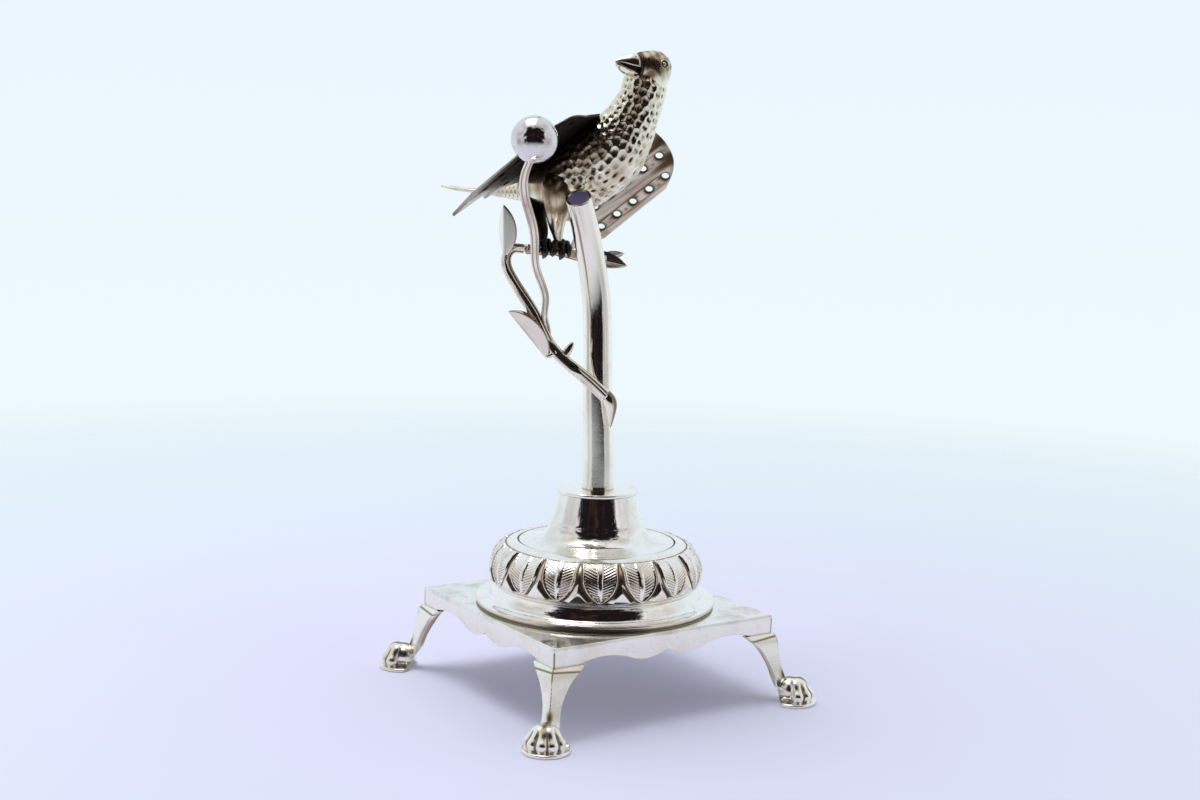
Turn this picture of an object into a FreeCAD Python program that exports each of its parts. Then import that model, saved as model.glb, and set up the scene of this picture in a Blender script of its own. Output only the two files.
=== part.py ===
"""Silver toothpick holder: a bird with pierced wings on a bough, over a square footed base.

Frame: +Z up, origin on the table under the middle of the base, front of the base towards -Y.
Millimetres and degrees. The base is modelled where it stands. The figure (trunk, vine, bird)
is modelled in its own frame, with its origin at the foot of the trunk, and turned about Z.
"""
import FreeCAD, Part
import math
import os
import Sketcher

document = FreeCAD.newDocument("ToothpickHolder")
sheet = document.addObject("Spreadsheet::Sheet", "Sizes")

SIZES = [
    # square platform with its scalloped aprons
    ("platform_side", 70.0), ("platform_height", 24.0), ("platform_thickness", 1.0),
    ("platform_edge_round", 0.35), ("apron_thickness", 0.9), ("apron_end_depth", 4.1),
    ("apron_arch_depth", 3.0), ("apron_lobe_depth", 5.4), ("apron_cusp_depth", 3.7),
    ("apron_foot_length", 7.3), ("apron_arch_place", 18.5), ("apron_lobe_place", 6.2),
    ("apron_turn_place", 12.2),
    # cast legs with lion paws
    ("leg_top_width", 10.2), ("leg_shin_width", 7.2), ("leg_ankle_width", 5.2),
    ("leg_wall", 2.3), ("leg_proud", 0.9), ("knee_reach", 2.3), ("shin_reach", 2.6),
    ("ankle_reach", 4.6), ("paw_reach", 6.7), ("paw_radius", 6.3), ("paw_height", 7.4),
    ("paw_sole_thickness", 1.0), ("toe_radius", 1.75), ("toe_fan", 34.0),
    # raised dome in four turned shells
    ("shell_wall", 0.9), ("flange_radius", 33.2), ("flange_height", 1.7), ("foot_rim_step", 0.6),
    ("drum_radius", 27.6), ("drum_height", 5.6), ("band_radius", 28.2),
    ("band_bulge", 0.8), ("band_top_radius", 22.0), ("band_height", 11.9),
    ("leaf_count", 16), ("leaf_half_width", 4.3), ("leaf_relief", 0.65), ("leaf_border", 0.8),
    ("leaf_tip_margin", 1.6), ("leaf_phase", 14.0), ("bell_flange_gap", 0.3), ("bell_ledge", 1.3),
    ("bell_waist_radius", 12.9), ("bell_waist_height", 5.5), ("bell_mouth_radius", 10.4),
    ("bell_height", 13.4), ("collar_radius", 11.3), ("collar_thickness", 1.05),
    ("collar_spigot", 1.0), ("collar_edge_round", 0.4),
    # tie rod, washer and nut that clamp the figure to the base
    ("rod_diameter", 4.0), ("rod_clearance", 0.3), ("thread_clearance", 0.0),
    ("rod_seat_depth", 12.0), ("washer_diameter", 10.0), ("washer_thickness", 0.8),
    ("nut_width", 7.0), ("nut_thickness", 3.0), ("rod_tail", 1.6),
    # figure
    ("figure_turn", -33.7), ("trunk_radius", 4.4), ("trunk_top_radius", 3.5),
    ("trunk_over_perch", 15.6), ("trunk_lean_side", 7.3), ("trunk_lean_front", 12.4),
    ("cap_rim", 0.7), ("cap_depth", 0.6), ("cap_drop", 0.15),
    ("vine_root_radius", 1.75), ("vine_top_radius", 1.3), ("vine_root_height", 27.0),
    ("spur_length", 8.3), ("perch_height", 64.0), ("perch_radius", 1.4),
    ("leaf_thickness", 0.5), ("leaf_fold", 28.0), ("sharp_leaf_fold", 55.0),
    ("berry_radius", 5.9), ("berry_height", 93.75), ("berry_side", 18.1), ("berry_front", 35.0),
    ("stem_width", 2.3), ("stem_thickness", 1.1),
    # bird
    ("bird_heading", 30.0), ("bird_pitch", 36.0), ("bird_roll", 20.0), ("bird_side", 13.0),
    ("bird_depth", 5.0), ("head_radius", 4.6), ("beak_length", 8.4), ("beak_radius", 3.5),
    ("head_turn", 205.0), ("wing_thickness", 0.9), ("wing_droop", 30.0), ("wing_width", 24.2),
    ("wing_length", 31.0), ("wing_tip_length", 10.5), ("wing_advance", 5.0),
    ("wing_root_rise", 7.0), ("wing_root_side", 7.0), ("hole_diameter", 2.1),
    ("hole_pitch", 6.2), ("hole_row_pitch", 5.9), ("hole_margin", 3.4), ("hole_front", 3.9),
    ("hole_rows", 3), ("holes_per_row", 5), ("left_wing_bow", 3.2), ("right_wing_bow", 0.6),
    ("toe_bar_radius", 0.7), ("toe_grip_clearance", 0.1), ("toe_spacing", 1.6),
    ("tail_fork", 2.2), ("tail_thickness", 0.9),
]

for row, (alias, number) in enumerate(SIZES, start=1):
    sheet.set(f"A{row}", alias.replace("_", " "))
    sheet.set(f"B{row}", str(number))
    sheet.setAlias(f"B{row}", alias)
document.recompute()


class Size:
    """A length or angle of the sheet, with the expression that binds a feature to it."""

    def __init__(self, number, text):
        self.number = float(number)
        self.text = text

    def join(self, sign, other, number):
        text = other.text if isinstance(other, Size) else repr(other)
        return Size(number, f"({self.text} {sign} {text})")

    def __add__(self, other):
        return self.join("+", other, self.number + float(other))

    def __sub__(self, other):
        return self.join("-", other, self.number - float(other))

    def __mul__(self, other):
        return self.join("*", other, self.number * float(other))

    def __truediv__(self, other):
        return self.join("/", other, self.number / float(other))

    def __neg__(self):
        return Size(-self.number, f"(-1 * {self.text})")

    def __float__(self):
        return self.number


class Sheet:
    """Every alias of the sheet as a Size, and as a plain number through n."""

    def __init__(self):
        for alias, number in SIZES:
            setattr(self, alias, Size(sheet.get(alias), f"Sizes.{alias}"))


size = Sheet()


def number(alias):
    return float(sheet.get(alias))


def vector(x, y, z=0.0):
    return FreeCAD.Vector(float(x), float(y), float(z))


UP = vector(0, 0, 1)
HOME = vector(0, 0, 0)


# ---------------------------------------------------------------- helpers for bodies

def new_body(label):
    body = document.addObject("PartDesign::Body", label)
    body.Label = label
    return body


def origin_plane(body, role):
    return next(item for item in body.Origin.OriginFeatures if item.Role == role)


def pin_corner(sketch, edge, end, x, y):
    """Fixes one end of an edge at a bound distance from the sketch's own axes."""
    for kind, axis, place in (("DistanceX", -2, x), ("DistanceY", -1, y)):
        if float(place) == 0.0:
            sketch.addConstraint(Sketcher.Constraint("PointOnObject", edge, end, axis))
            continue
        index = sketch.addConstraint(Sketcher.Constraint(kind, -1, 1, edge, end, float(place)))
        if isinstance(place, Size):
            sketch.setExpression(f"Constraints[{index}]", place.text)


def outline(body, name, role, corners):
    """A closed sketch on one of the body's own planes. A corner is (x, y), or
    (x, y, via_x, via_y) where the edge that arrives there is an arc through the via point."""
    sketch = body.newObject("Sketcher::SketchObject", name)
    sketch.AttachmentSupport = [(origin_plane(body, role), "")]
    sketch.MapMode = "FlatFace"
    edges = []
    for index, corner in enumerate(corners):
        begin = vector(*corners[index - 1][:2])
        end = vector(*corner[:2])
        if len(corner) == 2:
            edge = sketch.addGeometry(Part.LineSegment(begin, end))
        else:
            edge = sketch.addGeometry(Part.Arc(begin, vector(*corner[2:]), end))
        forward = sketch.getPoint(edge, 1).distanceToPoint(begin) < 1e-6
        edges.append((edge, 1 if forward else 2, 2 if forward else 1))
    for index, corner in enumerate(corners):
        edge, first, last = edges[index]
        before = edges[index - 1]
        sketch.addConstraint(Sketcher.Constraint("Coincident", before[0], before[2], edge, first))
        pin_corner(sketch, edge, last, *corner[:2])
        if len(corner) == 4:
            via = sketch.addGeometry(Part.Point(vector(*corner[2:])), True)
            pin_corner(sketch, via, 1, *corner[2:])
            sketch.addConstraint(Sketcher.Constraint("PointOnObject", via, 1, edge))
    return sketch


def pad(body, sketch, length):
    feature = body.newObject("PartDesign::Pad", "Pad")
    feature.Profile = sketch
    feature.Length = float(length)
    feature.setExpression("Length", length.text)
    return feature


def pocket_through(body, sketch):
    feature = body.newObject("PartDesign::Pocket", "Pocket")
    feature.Profile = sketch
    feature.Type = "ThroughAll"
    feature.Midplane = True
    return feature


def turn(body, sketch):
    feature = body.newObject("PartDesign::Revolution", "Turned")
    feature.Profile = sketch
    feature.ReferenceAxis = (sketch, ["V_Axis"])
    feature.Angle = 360.0
    return feature


def round_edges(body, feature, radius, wanted):
    """Rounds the edges of a feature that wanted(edge) picks."""
    document.recompute()
    names = [f"Edge{i}" for i, edge in enumerate(feature.Shape.Edges, start=1) if wanted(edge)]
    fillet = body.newObject("PartDesign::Fillet", "Rounded")
    fillet.Base = (feature, names)
    fillet.Radius = float(radius)
    fillet.setExpression("Radius", radius.text)
    return fillet


def lift(item, height):
    item.Placement.Base = vector(0, 0, float(height))
    item.setExpression("Placement.Base.z", height.text)


def sculpted(label, shape, placement=None):
    """A sub-part whose shape comes from Part's own functions."""
    piece = document.addObject("Part::Feature", label)
    piece.Label = label
    piece.Shape = shape
    if placement:
        piece.Placement = placement
    return piece


# ---------------------------------------------------------------- platform and aprons

def circle_sketch(body, name, diameter):
    sketch = body.newObject("Sketcher::SketchObject", name)
    sketch.AttachmentSupport = [(origin_plane(body, "XY_Plane"), "")]
    sketch.MapMode = "FlatFace"
    edge = sketch.addGeometry(Part.Circle(HOME, UP, float(diameter) / 2))
    sketch.addConstraint(Sketcher.Constraint("Coincident", edge, 3, -1, 1))
    index = sketch.addConstraint(Sketcher.Constraint("Diameter", edge, float(diameter)))
    sketch.setExpression(f"Constraints[{index}]", diameter.text)
    return sketch


def make_platform():
    body = new_body("platform_top")
    half = size.platform_side / 2
    square = outline(body, "Square", "XY_Plane", [(half, half), (-half, half), (-half, -half), (half, -half)])
    plate = pad(body, square, size.platform_thickness)
    pocket_through(body, circle_sketch(body, "RodHole", size.rod_diameter + size.rod_clearance * 2))
    top = number("platform_thickness")
    round_edges(body, body.Tip, size.platform_edge_round,
                lambda edge: edge.BoundBox.ZMin > top - 1e-6 and edge.Length > 20)
    lift(body, size.platform_height - size.platform_thickness)
    return plate


def make_apron(label, turned):
    """A strip under one side of the platform: two lobes that meet in a cusp between two arches."""
    body = new_body(label)
    half = size.platform_side / 2
    foot = half - size.apron_foot_length
    turn_depth = (size.apron_arch_depth + size.apron_lobe_depth) / 2
    path = [(-half, 0), (-half, -size.apron_end_depth), (-foot, -size.apron_end_depth)]
    path += [(-size.apron_turn_place, -turn_depth, -size.apron_arch_place, -size.apron_arch_depth)]
    path += [(0, -size.apron_cusp_depth, -size.apron_lobe_place, -size.apron_lobe_depth)]
    path += [(size.apron_turn_place, -turn_depth, size.apron_lobe_place, -size.apron_lobe_depth)]
    path += [(foot, -size.apron_end_depth, size.apron_arch_place, -size.apron_arch_depth)]
    path += [(half, -size.apron_end_depth), (half, 0)]
    pad(body, outline(body, "Scallop", "XZ_Plane", path), size.apron_thickness)
    for name, side in (("LeftMitre", -half), ("RightMitre", half)):
        inner = -half + size.apron_thickness if name == "LeftMitre" else half - size.apron_thickness
        mitre = [(side, 0), (side, -size.apron_thickness), (inner, 0)]
        pocket_through(body, outline(body, name, "XY_Plane", mitre))
    reach = number("platform_side") / 2 - number("apron_thickness")
    top = number("platform_height") - number("platform_thickness")
    quarter = FreeCAD.Rotation(UP, turned)
    place = quarter.multVec(vector(0, -reach, 0)) + vector(0, 0, top)
    body.Placement = FreeCAD.Placement(place, quarter)


# ---------------------------------------------------------------- cast legs

def angle_section(reach, height, width, wall):
    """A right-angled section with its ridge outwards, open towards the middle of the base."""
    half = width / 2
    slant = wall * math.sqrt(0.5)
    points = [
        (reach, 0), (reach - half, half), (reach - half - slant, half - slant),
        (reach - 2 * slant, 0), (reach - half - slant, slant - half), (reach - half, -half),
    ]
    corners = [vector(x, y, height) for x, y in points]
    return Part.makePolygon(corners + corners[:1])


def capsule(first, last, first_radius, last_radius):
    """A bar with round ends, turned in one piece."""
    along = last - first
    length = along.Length
    half = math.sqrt(0.5)
    bottom = vector(0, 0, -first_radius)
    top = vector(0, 0, length + last_radius)
    low = vector(first_radius, 0, 0)
    high = vector(last_radius, 0, length)
    edges = [
        Part.Arc(bottom, vector(first_radius * half, 0, -first_radius * half), low).toShape(),
        Part.LineSegment(low, high).toShape(),
        Part.Arc(high, vector(last_radius * half, 0, length + last_radius * half), top).toShape(),
        Part.LineSegment(top, bottom).toShape(),
    ]
    bar = Part.Face(Part.Wire(edges)).revolve(HOME, UP, 360)
    bar.Placement = FreeCAD.Placement(first, FreeCAD.Rotation(HOME, HOME, along, "ZXY"))
    return bar


def paw_pieces():
    """A round sole, a heel and five toes that fan out from the ankle."""
    sole = number("paw_sole_thickness")
    radius = number("paw_radius")
    toe = number("toe_radius")
    height = number("paw_height")
    centre = vector(number("paw_reach"), 0, 0)
    pieces = [Part.makeCylinder(radius, sole, centre)]
    pieces.append(Part.makeSphere(radius * 0.6, centre + vector(-radius * 0.12, 0, height * 0.42)))
    for step in range(-2, 3):
        turned = FreeCAD.Rotation(UP, step * number("toe_fan"))
        knuckle = centre + turned.multVec(vector(radius * 0.14, 0, height - toe))
        nail = centre + turned.multVec(vector(radius - toe - 0.25, 0, sole + toe * 0.62))
        pieces.append(capsule(knuckle, nail, toe * 0.95, toe))
    floor = Part.makeBox(40, 40, 10, centre + vector(-20, -20, -10))
    arch = Part.makeBox(20, 30, 24, vector(-20, -15, -12))
    arch.Placement = FreeCAD.Placement(vector(radius * 0.7, 0, 0), FreeCAD.Rotation(vector(0, 1, 0), -31))
    return [piece.cut(floor).cut(arch) for piece in pieces]


def cast_leg():
    """One leg with its ridge along +X, measured from the platform's corner."""
    top = number("platform_height") - number("platform_thickness") - number("apron_end_depth")
    wall = number("leg_wall")
    sections = [
        angle_section(number("leg_proud"), top, number("leg_top_width"), wall),
        angle_section(number("knee_reach"), top - 1.4, number("leg_top_width") - 0.6, wall),
        angle_section(number("shin_reach"), top * 0.7, number("leg_shin_width"), wall),
        angle_section((number("shin_reach") + number("ankle_reach")) / 2, top * 0.48, number("leg_ankle_width"), wall),
        angle_section(number("ankle_reach"), number("paw_height") * 0.8, number("leg_ankle_width"), wall),
    ]
    shin = Part.makeLoft(sections, True, False)
    return shin.fuse(paw_pieces())


def make_legs():
    corner = number("platform_side") / 2
    casting = cast_leg()
    for label, angle in (("leg_front_left", 225), ("leg_front_right", 315),
                         ("leg_back_right", 45), ("leg_back_left", 135)):
        turned = FreeCAD.Rotation(UP, angle)
        place = turned.multVec(vector(corner * math.sqrt(2), 0, 0))
        sculpted(label, casting, FreeCAD.Placement(place, turned))


# ---------------------------------------------------------------- dome of four turned shells

def make_foot_ring():
    """Flange with a cavetto up to the drum that carries the leaf band."""
    body = new_body("foot_ring")
    wall = size.shell_wall
    inner = size.drum_radius - wall
    path = [
        (size.flange_radius - size.foot_rim_step, 0), (size.flange_radius - size.foot_rim_step, size.foot_rim_step),
        (size.flange_radius, size.foot_rim_step), (size.flange_radius, size.flange_height),
        (size.drum_radius, size.drum_height, size.drum_radius + 1.7, size.flange_height + 1.1),
        (inner, size.drum_height),
        (size.flange_radius - wall * 2, size.flange_height - wall, inner + 1.9, size.flange_height + 0.2),
        (size.flange_radius - wall * 2, 0),
    ]
    turn(body, outline(body, "Profile", "XZ_Plane", path))
    lift(body, size.platform_height)


def band_circle(offset):
    """Circle of the band's section through its foot, its bulge and its top edge, grown by offset."""
    foot = vector(number("band_radius"), 0, 0.5)
    bulge = vector(number("band_radius") + number("band_bulge"), 0, 3.95)
    top = vector(number("band_top_radius"), 0, number("band_height"))
    arc = Part.Arc(foot, bulge, top).toShape().Curve
    return arc.Center, arc.Radius + offset


def band_slice(offset, angle):
    """A wedge of the band between its own surface, sunk a little, and the surface grown by offset."""
    centre, outer = band_circle(offset)
    inner = outer - offset - number("shell_wall") * 0.5
    disc = Part.Face(Part.Wire(Part.Circle(centre, vector(0, 1, 0), outer).toShape()))
    hole = Part.Face(Part.Wire(Part.Circle(centre, vector(0, 1, 0), inner).toShape()))
    ring = disc.cut(hole)
    ring.rotate(HOME, UP, -angle / 2)
    return ring.revolve(HOME, UP, angle)


def leaf_prism(half_width, tip, top):
    """A hanging leaf's outline, pointed at its foot, as a prism along +X outside the bulge's centre."""
    start = band_circle(0)[0].x + 0.5
    middle = (tip + top) / 2
    left = vector(start, -half_width * 0.88, top)
    right = vector(start, half_width * 0.88, top)
    foot = vector(start, 0, tip)
    edges = [
        Part.LineSegment(left, right).toShape(),
        Part.Arc(right, vector(start, half_width, middle), foot).toShape(),
        Part.Arc(foot, vector(start, -half_width, middle), left).toShape(),
    ]
    return Part.Face(Part.Wire(edges)).extrude(vector(12, 0, 0))


def make_leaf_band():
    """An ovolo ring with hanging leaves in relief: a raised border, a rib and darts between."""
    wall = number("shell_wall")
    height = number("band_height")
    centre, outer = band_circle(0)
    top_radius = number("band_top_radius")
    ledge_height = height - number("bell_ledge") + 0.2
    ledge_inner = top_radius - number("bell_flange_gap") - number("bell_ledge")
    inner = outer - wall
    seat = number("drum_radius") - wall
    foot_out = vector(number("band_radius") + 0.3, 0, 0)
    lip = vector(number("band_radius") + 0.3, 0, 0.5)
    foot = vector(number("band_radius"), 0, 0.5)
    crown = vector(top_radius, 0, height)
    crown_in = vector(top_radius, 0, ledge_height)
    ledge = vector(ledge_inner, 0, ledge_height)
    ledge_low = vector(ledge_inner, 0, ledge_height - wall)
    inner_side = math.sqrt(inner ** 2 - (ledge_height - wall - centre.z) ** 2)
    inner_top = vector(centre.x + inner_side, 0, ledge_height - wall)
    inner_foot_x = centre.x + math.sqrt(inner ** 2 - (0.5 - centre.z) ** 2)
    inner_foot = vector(inner_foot_x, 0, 0.5)
    inner_mid = vector(centre.x + inner, 0, centre.z)
    outer_mid = vector(centre.x + outer, 0, centre.z)
    corners = [foot_out, lip, foot]
    edges = [Part.LineSegment(a, b).toShape() for a, b in zip(corners, corners[1:])]
    edges.append(Part.Arc(foot, outer_mid, crown).toShape())
    corners = [crown, crown_in, ledge, ledge_low, inner_top]
    edges += [Part.LineSegment(a, b).toShape() for a, b in zip(corners, corners[1:])]
    edges.append(Part.Arc(inner_top, inner_mid, inner_foot).toShape())
    corners = [inner_foot, vector(seat, 0, 0.5), vector(seat, 0, 0), foot_out]
    edges += [Part.LineSegment(a, b).toShape() for a, b in zip(corners, corners[1:])]
    ring = Part.Face(Part.Wire(edges)).revolve(HOME, UP, 360)

    relief = number("leaf_relief")
    border = number("leaf_border")
    half_width = number("leaf_half_width")
    tip = number("leaf_tip_margin")
    top = height - 1.3
    count = int(number("leaf_count"))
    step = 360.0 / count
    whole = leaf_prism(half_width, tip, top)
    inside = leaf_prism(half_width - border, tip + border * 1.6, top + 3)
    rib = leaf_prism(border * 0.6, tip + border, top)
    raised = band_slice(relief, step)
    field = band_slice(relief * 0.35, step)
    leaf = raised.common(whole.cut(inside)).fuse([raised.common(rib), field.common(whole)])
    dart = leaf_prism(1.5, tip + 4.0, tip * 0.5 + 0.2).common(band_slice(relief * 0.8, step))
    dart.rotate(HOME, UP, step / 2)
    unit = leaf.fuse(dart)
    copies = []
    for index in range(count):
        copy = unit.copy()
        copy.rotate(HOME, UP, index * step + number("leaf_phase"))
        copies.append(copy)
    band = ring.fuse(copies)
    place = FreeCAD.Placement(vector(0, 0, number("platform_height") + number("drum_height")), FreeCAD.Rotation())
    sculpted("leaf_band", band, place)


def band_top():
    return size.platform_height + size.drum_height + size.band_height


def make_bell():
    """Concave bell on its flange, which lies on the ledge inside the leaf band."""
    body = new_body("dome_bell")
    wall = size.shell_wall
    ledge = -size.bell_ledge + 0.2
    flange = size.band_top_radius - size.bell_flange_gap
    path = [
        (flange, ledge), (flange, ledge + wall),
        (size.bell_waist_radius + 4.1, ledge + wall + 0.8),
        (size.bell_waist_radius, size.bell_waist_height, size.bell_waist_radius + 1.1, ledge + wall + 2.7),
        (size.bell_mouth_radius, size.bell_height),
        (size.bell_mouth_radius - wall, size.bell_height),
        (size.bell_waist_radius - wall, size.bell_waist_height),
        (size.bell_waist_radius + 3.5, ledge, size.bell_waist_radius + 0.3, ledge + wall + 2.0),
    ]
    turn(body, outline(body, "Profile", "XZ_Plane", path))
    lift(body, band_top())


def make_collar():
    """Disc on the mouth of the bell, centred by a spigot, with the hole for the tie rod."""
    body = new_body("dome_collar")
    bore = size.rod_diameter / 2 + size.rod_clearance
    spigot = size.bell_mouth_radius - size.shell_wall - size.rod_clearance * 0.2
    path = [
        (bore, -size.collar_spigot), (spigot, -size.collar_spigot), (spigot, 0),
        (size.collar_radius, 0), (size.collar_radius, size.collar_thickness), (bore, size.collar_thickness),
    ]
    disc = turn(body, outline(body, "Profile", "XZ_Plane", path))
    rim = number("collar_radius")
    round_edges(body, disc, size.collar_edge_round,
                lambda edge: edge.Curve.TypeId == "Part::GeomCircle" and abs(edge.Curve.Radius - rim) < 1e-6)
    lift(body, band_top() + size.bell_height)


def collar_top():
    return band_top() + size.bell_height + size.collar_thickness


# ---------------------------------------------------------------- tie rod, washer and nut

def make_fastening():
    under = size.platform_height - size.platform_thickness
    washer = new_body("clamp_washer")
    pad(washer, circle_sketch(washer, "Disc", size.washer_diameter), size.washer_thickness)
    hole = circle_sketch(washer, "Hole", size.rod_diameter + size.rod_clearance * 2)
    pocket_through(washer, hole)
    lift(washer, under - size.washer_thickness)

    hexagon = document.addObject("Part::Prism", "NutBlank")
    hexagon.Polygon = 6
    hexagon.setExpression("Circumradius", f"{size.nut_width.text} / sqrt(3)")
    hexagon.setExpression("Height", size.nut_thickness.text)
    bore = document.addObject("Part::Cylinder", "NutBore")
    bore.setExpression("Radius", (size.rod_diameter / 2 + size.thread_clearance).text)
    bore.setExpression("Height", size.nut_thickness.text)
    nut = document.addObject("Part::Cut", "clamp_nut")
    nut.Label = "clamp_nut"
    nut.Base = hexagon
    nut.Tool = bore
    lift(nut, under - size.washer_thickness - size.nut_thickness)

    low = under - size.washer_thickness - size.nut_thickness - size.rod_tail
    rod = document.addObject("Part::Cylinder", "tie_rod")
    rod.Label = "tie_rod"
    rod.setExpression("Radius", (size.rod_diameter / 2).text)
    rod.setExpression("Height", (collar_top() + size.rod_seat_depth - low).text)
    lift(rod, low)


# ---------------------------------------------------------------- helpers for the figure

def figure_place():
    turned = FreeCAD.Rotation(UP, number("figure_turn"))
    return FreeCAD.Placement(vector(0, 0, collar_top()), turned)


def frame_rotation(along, across):
    """Rotation whose X lies along the first direction and whose Y lies near the second."""
    return FreeCAD.Rotation(along, across, vector(0, 0, 0), "XYZ")


def bent_bar(route, half_widths, half_depths=None, across=UP):
    """A solid through round or oval sections set square to a smooth line through the route."""
    line = Part.BSplineCurve()
    line.interpolate(route)
    sections = []
    for index, point in enumerate(route):
        tangent = line.tangent(line.parameter(point))[0]
        turned = FreeCAD.Rotation(across, vector(0, 0, 0), tangent, "ZXY")
        width = half_widths[index]
        depth = half_depths[index] if half_depths else width
        if abs(width - depth) < 1e-6:
            edge = Part.Circle(HOME, UP, width).toShape()
        elif width > depth:
            edge = Part.Ellipse(HOME, width, depth).toShape()
        else:
            edge = Part.Ellipse(vector(0, depth, 0), vector(-width, 0, 0), HOME).toShape()
        wire = Part.Wire(edge)
        wire.Placement = FreeCAD.Placement(point, turned)
        sections.append(wire)
    return Part.makeLoft(sections, True, False)


def seated(piece, *neighbours):
    """The piece with its neighbours cut away. Slivers beyond a neighbour are dropped."""
    for neighbour in neighbours:
        piece = piece.cut(neighbour)
    return max(piece.Solids, key=lambda solid: solid.Volume)


def spread(first, last, count):
    return [first + (last - first) * index / (count - 1) for index in range(count)]


# ---------------------------------------------------------------- trunk

def trunk_route():
    """Upright to half height, then leaning to the left and forwards."""
    height = number("perch_height") + number("trunk_over_perch")
    side = number("trunk_lean_side")
    front = number("trunk_lean_front")
    shares = [
        (-0.02, 0.0, 0.0), (0.06, 0.0, 0.0), (0.22, 0.06, 0.0), (0.48, 0.16, 0.0), (0.65, 0.25, 0.01),
        (0.77, 0.44, 0.16), (0.89, 0.71, 0.5), (1.0, 1.0, 1.0),
    ]
    return [vector(-side * x, -front * y, height * z) for z, x, y in shares]


def trunk_radii():
    return spread(number("trunk_radius"), number("trunk_top_radius"), len(trunk_route()))


def make_trunk():
    route = trunk_route()
    tube = bent_bar(route, trunk_radii(), across=vector(1, 0, 0))
    seat = Part.makeCylinder(number("rod_diameter") / 2, number("rod_seat_depth"))
    outwards = (route[-1] - route[-2]).normalize()
    line = Part.BSplineCurve()
    line.interpolate(route)
    outwards = line.tangent(line.parameter(route[-1]))[0]
    radius = number("trunk_top_radius") - number("cap_rim")
    depth = number("cap_depth")
    drop = number("cap_drop")
    floor = route[-1] - outwards * (depth + drop)
    recess = Part.makeCylinder(radius, depth + drop + 1, floor, outwards)
    below = Part.makeBox(20, 20, 10, vector(-10, -10, -10))
    trunk = tube.cut(below).cut(seat).cut(recess)
    sculpted("trunk", trunk, figure_place())
    sculpted("trunk_cap", Part.makeCylinder(radius, depth, floor, outwards), figure_place())
    return tube


# ---------------------------------------------------------------- vine, perch, leaves and berry

def vine_route():
    """From the front of the trunk, round to the left and up to the perch."""
    front = number("trunk_radius") + number("vine_root_radius") * 0.85
    root = number("vine_root_height")
    rise = number("perch_height") - root
    return [
        vector(1.6, -front, root - 1.0), vector(-2.6, -front - 0.9, root + rise * 0.08),
        vector(-9.6, -8.8, root + rise * 0.24), vector(-14.0, -10.4, root + rise * 0.37),
        vector(-17.9, -10.6, root + rise * 0.57), vector(-21.4, -9.6, root + rise * 0.71),
        vector(-24.7, -8.0, root + rise * 0.84), vector(-26.3, -5.9, root + rise * 0.96),
        vector(-24.8, -3.6, root + rise * 1.035), vector(-21.6, -1.7, root + rise * 1.035),
    ]


def vine_radii():
    return spread(number("vine_root_radius"), number("vine_top_radius"), len(vine_route()))


def make_vine(trunk):
    """The vine with the short pointed spur that turns down over the trunk at its root."""
    route = vine_route()
    stem = bent_bar(route, vine_radii(), across=vector(0, 1, 0))
    radius = number("vine_root_radius")
    length = number("spur_length")
    head = route[0]
    spur_line = [head + vector(-0.6, 0.2, 1.2), head + vector(0.8, 0, -0.6),
                 head + vector(1.3, 0.25, -length * 0.5), head + vector(1.2, 0.6, -length)]
    spur = bent_bar(spur_line, [radius * 0.8, radius * 1.02, radius * 0.75, 0.25], across=vector(1, 0, 0))
    vine = stem.fuse(spur).cut(trunk).removeSplitter()
    sculpted("vine", vine, figure_place())
    bud_seat = route[2] * 0.8 + route[3] * 0.2
    bud_line = [bud_seat + vector(0.4, 0, 0.5), bud_seat + vector(1.6, 0, 2.4), bud_seat + vector(2.8, 0.1, 4.3)]
    bud = bent_bar(bud_line, [1.2, 1.1, 0.4], across=vector(0, 1, 0))
    sculpted("vine_bud", seated(bud, stem), figure_place())
    return vine


def perch_route():
    """From the top of the vine to the right, touching the back of the trunk."""
    height = number("perch_height")
    return [vector(-21.6, -1.7, height + 1.3), vector(-17.0, 0.4, height + 1.1), vector(-12.2, 1.9, height + 0.8),
            vector(-8.2, 2.8, height - 0.2), vector(-3.6, 3.6, height - 0.9), vector(0.6, 4.5, height - 0.9)]


def make_perch(trunk, vine):
    radius = number("perch_radius")
    route = perch_route()
    bar = bent_bar(route, [radius] * (len(route) - 1) + [radius * 0.8], across=vector(0, 1, 0))
    sculpted("perch", bar.cut(trunk).cut(vine), figure_place())
    return bar


def folded_leaf(base, tip, side, half_width, fold, belly=0.42):
    """A leaf folded along its rib: two half blades and a rib that runs on as a short stalk."""
    thickness = number("leaf_thickness")
    length = (tip - base).Length
    blades = []
    for hand in (1, -1):
        edge = [
            Part.Arc(HOME, vector(length * belly, hand * half_width, 0), vector(length, 0, 0)).toShape(),
            Part.LineSegment(vector(length, 0, 0), HOME).toShape(),
        ]
        blade = Part.Face(Part.Wire(edge)).extrude(vector(0, 0, thickness))
        blade.rotate(HOME, vector(1, 0, 0), hand * fold)
        blades.append(blade)
    rib = Part.makeCone(thickness * 0.9, thickness * 0.5, length * 0.9, vector(0, 0, thickness * 0.4), vector(1, 0, 0))
    leaf = blades[0].fuse([blades[1], rib])
    leaf.Placement = FreeCAD.Placement(base, frame_rotation(tip - base, side))
    return leaf


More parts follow.
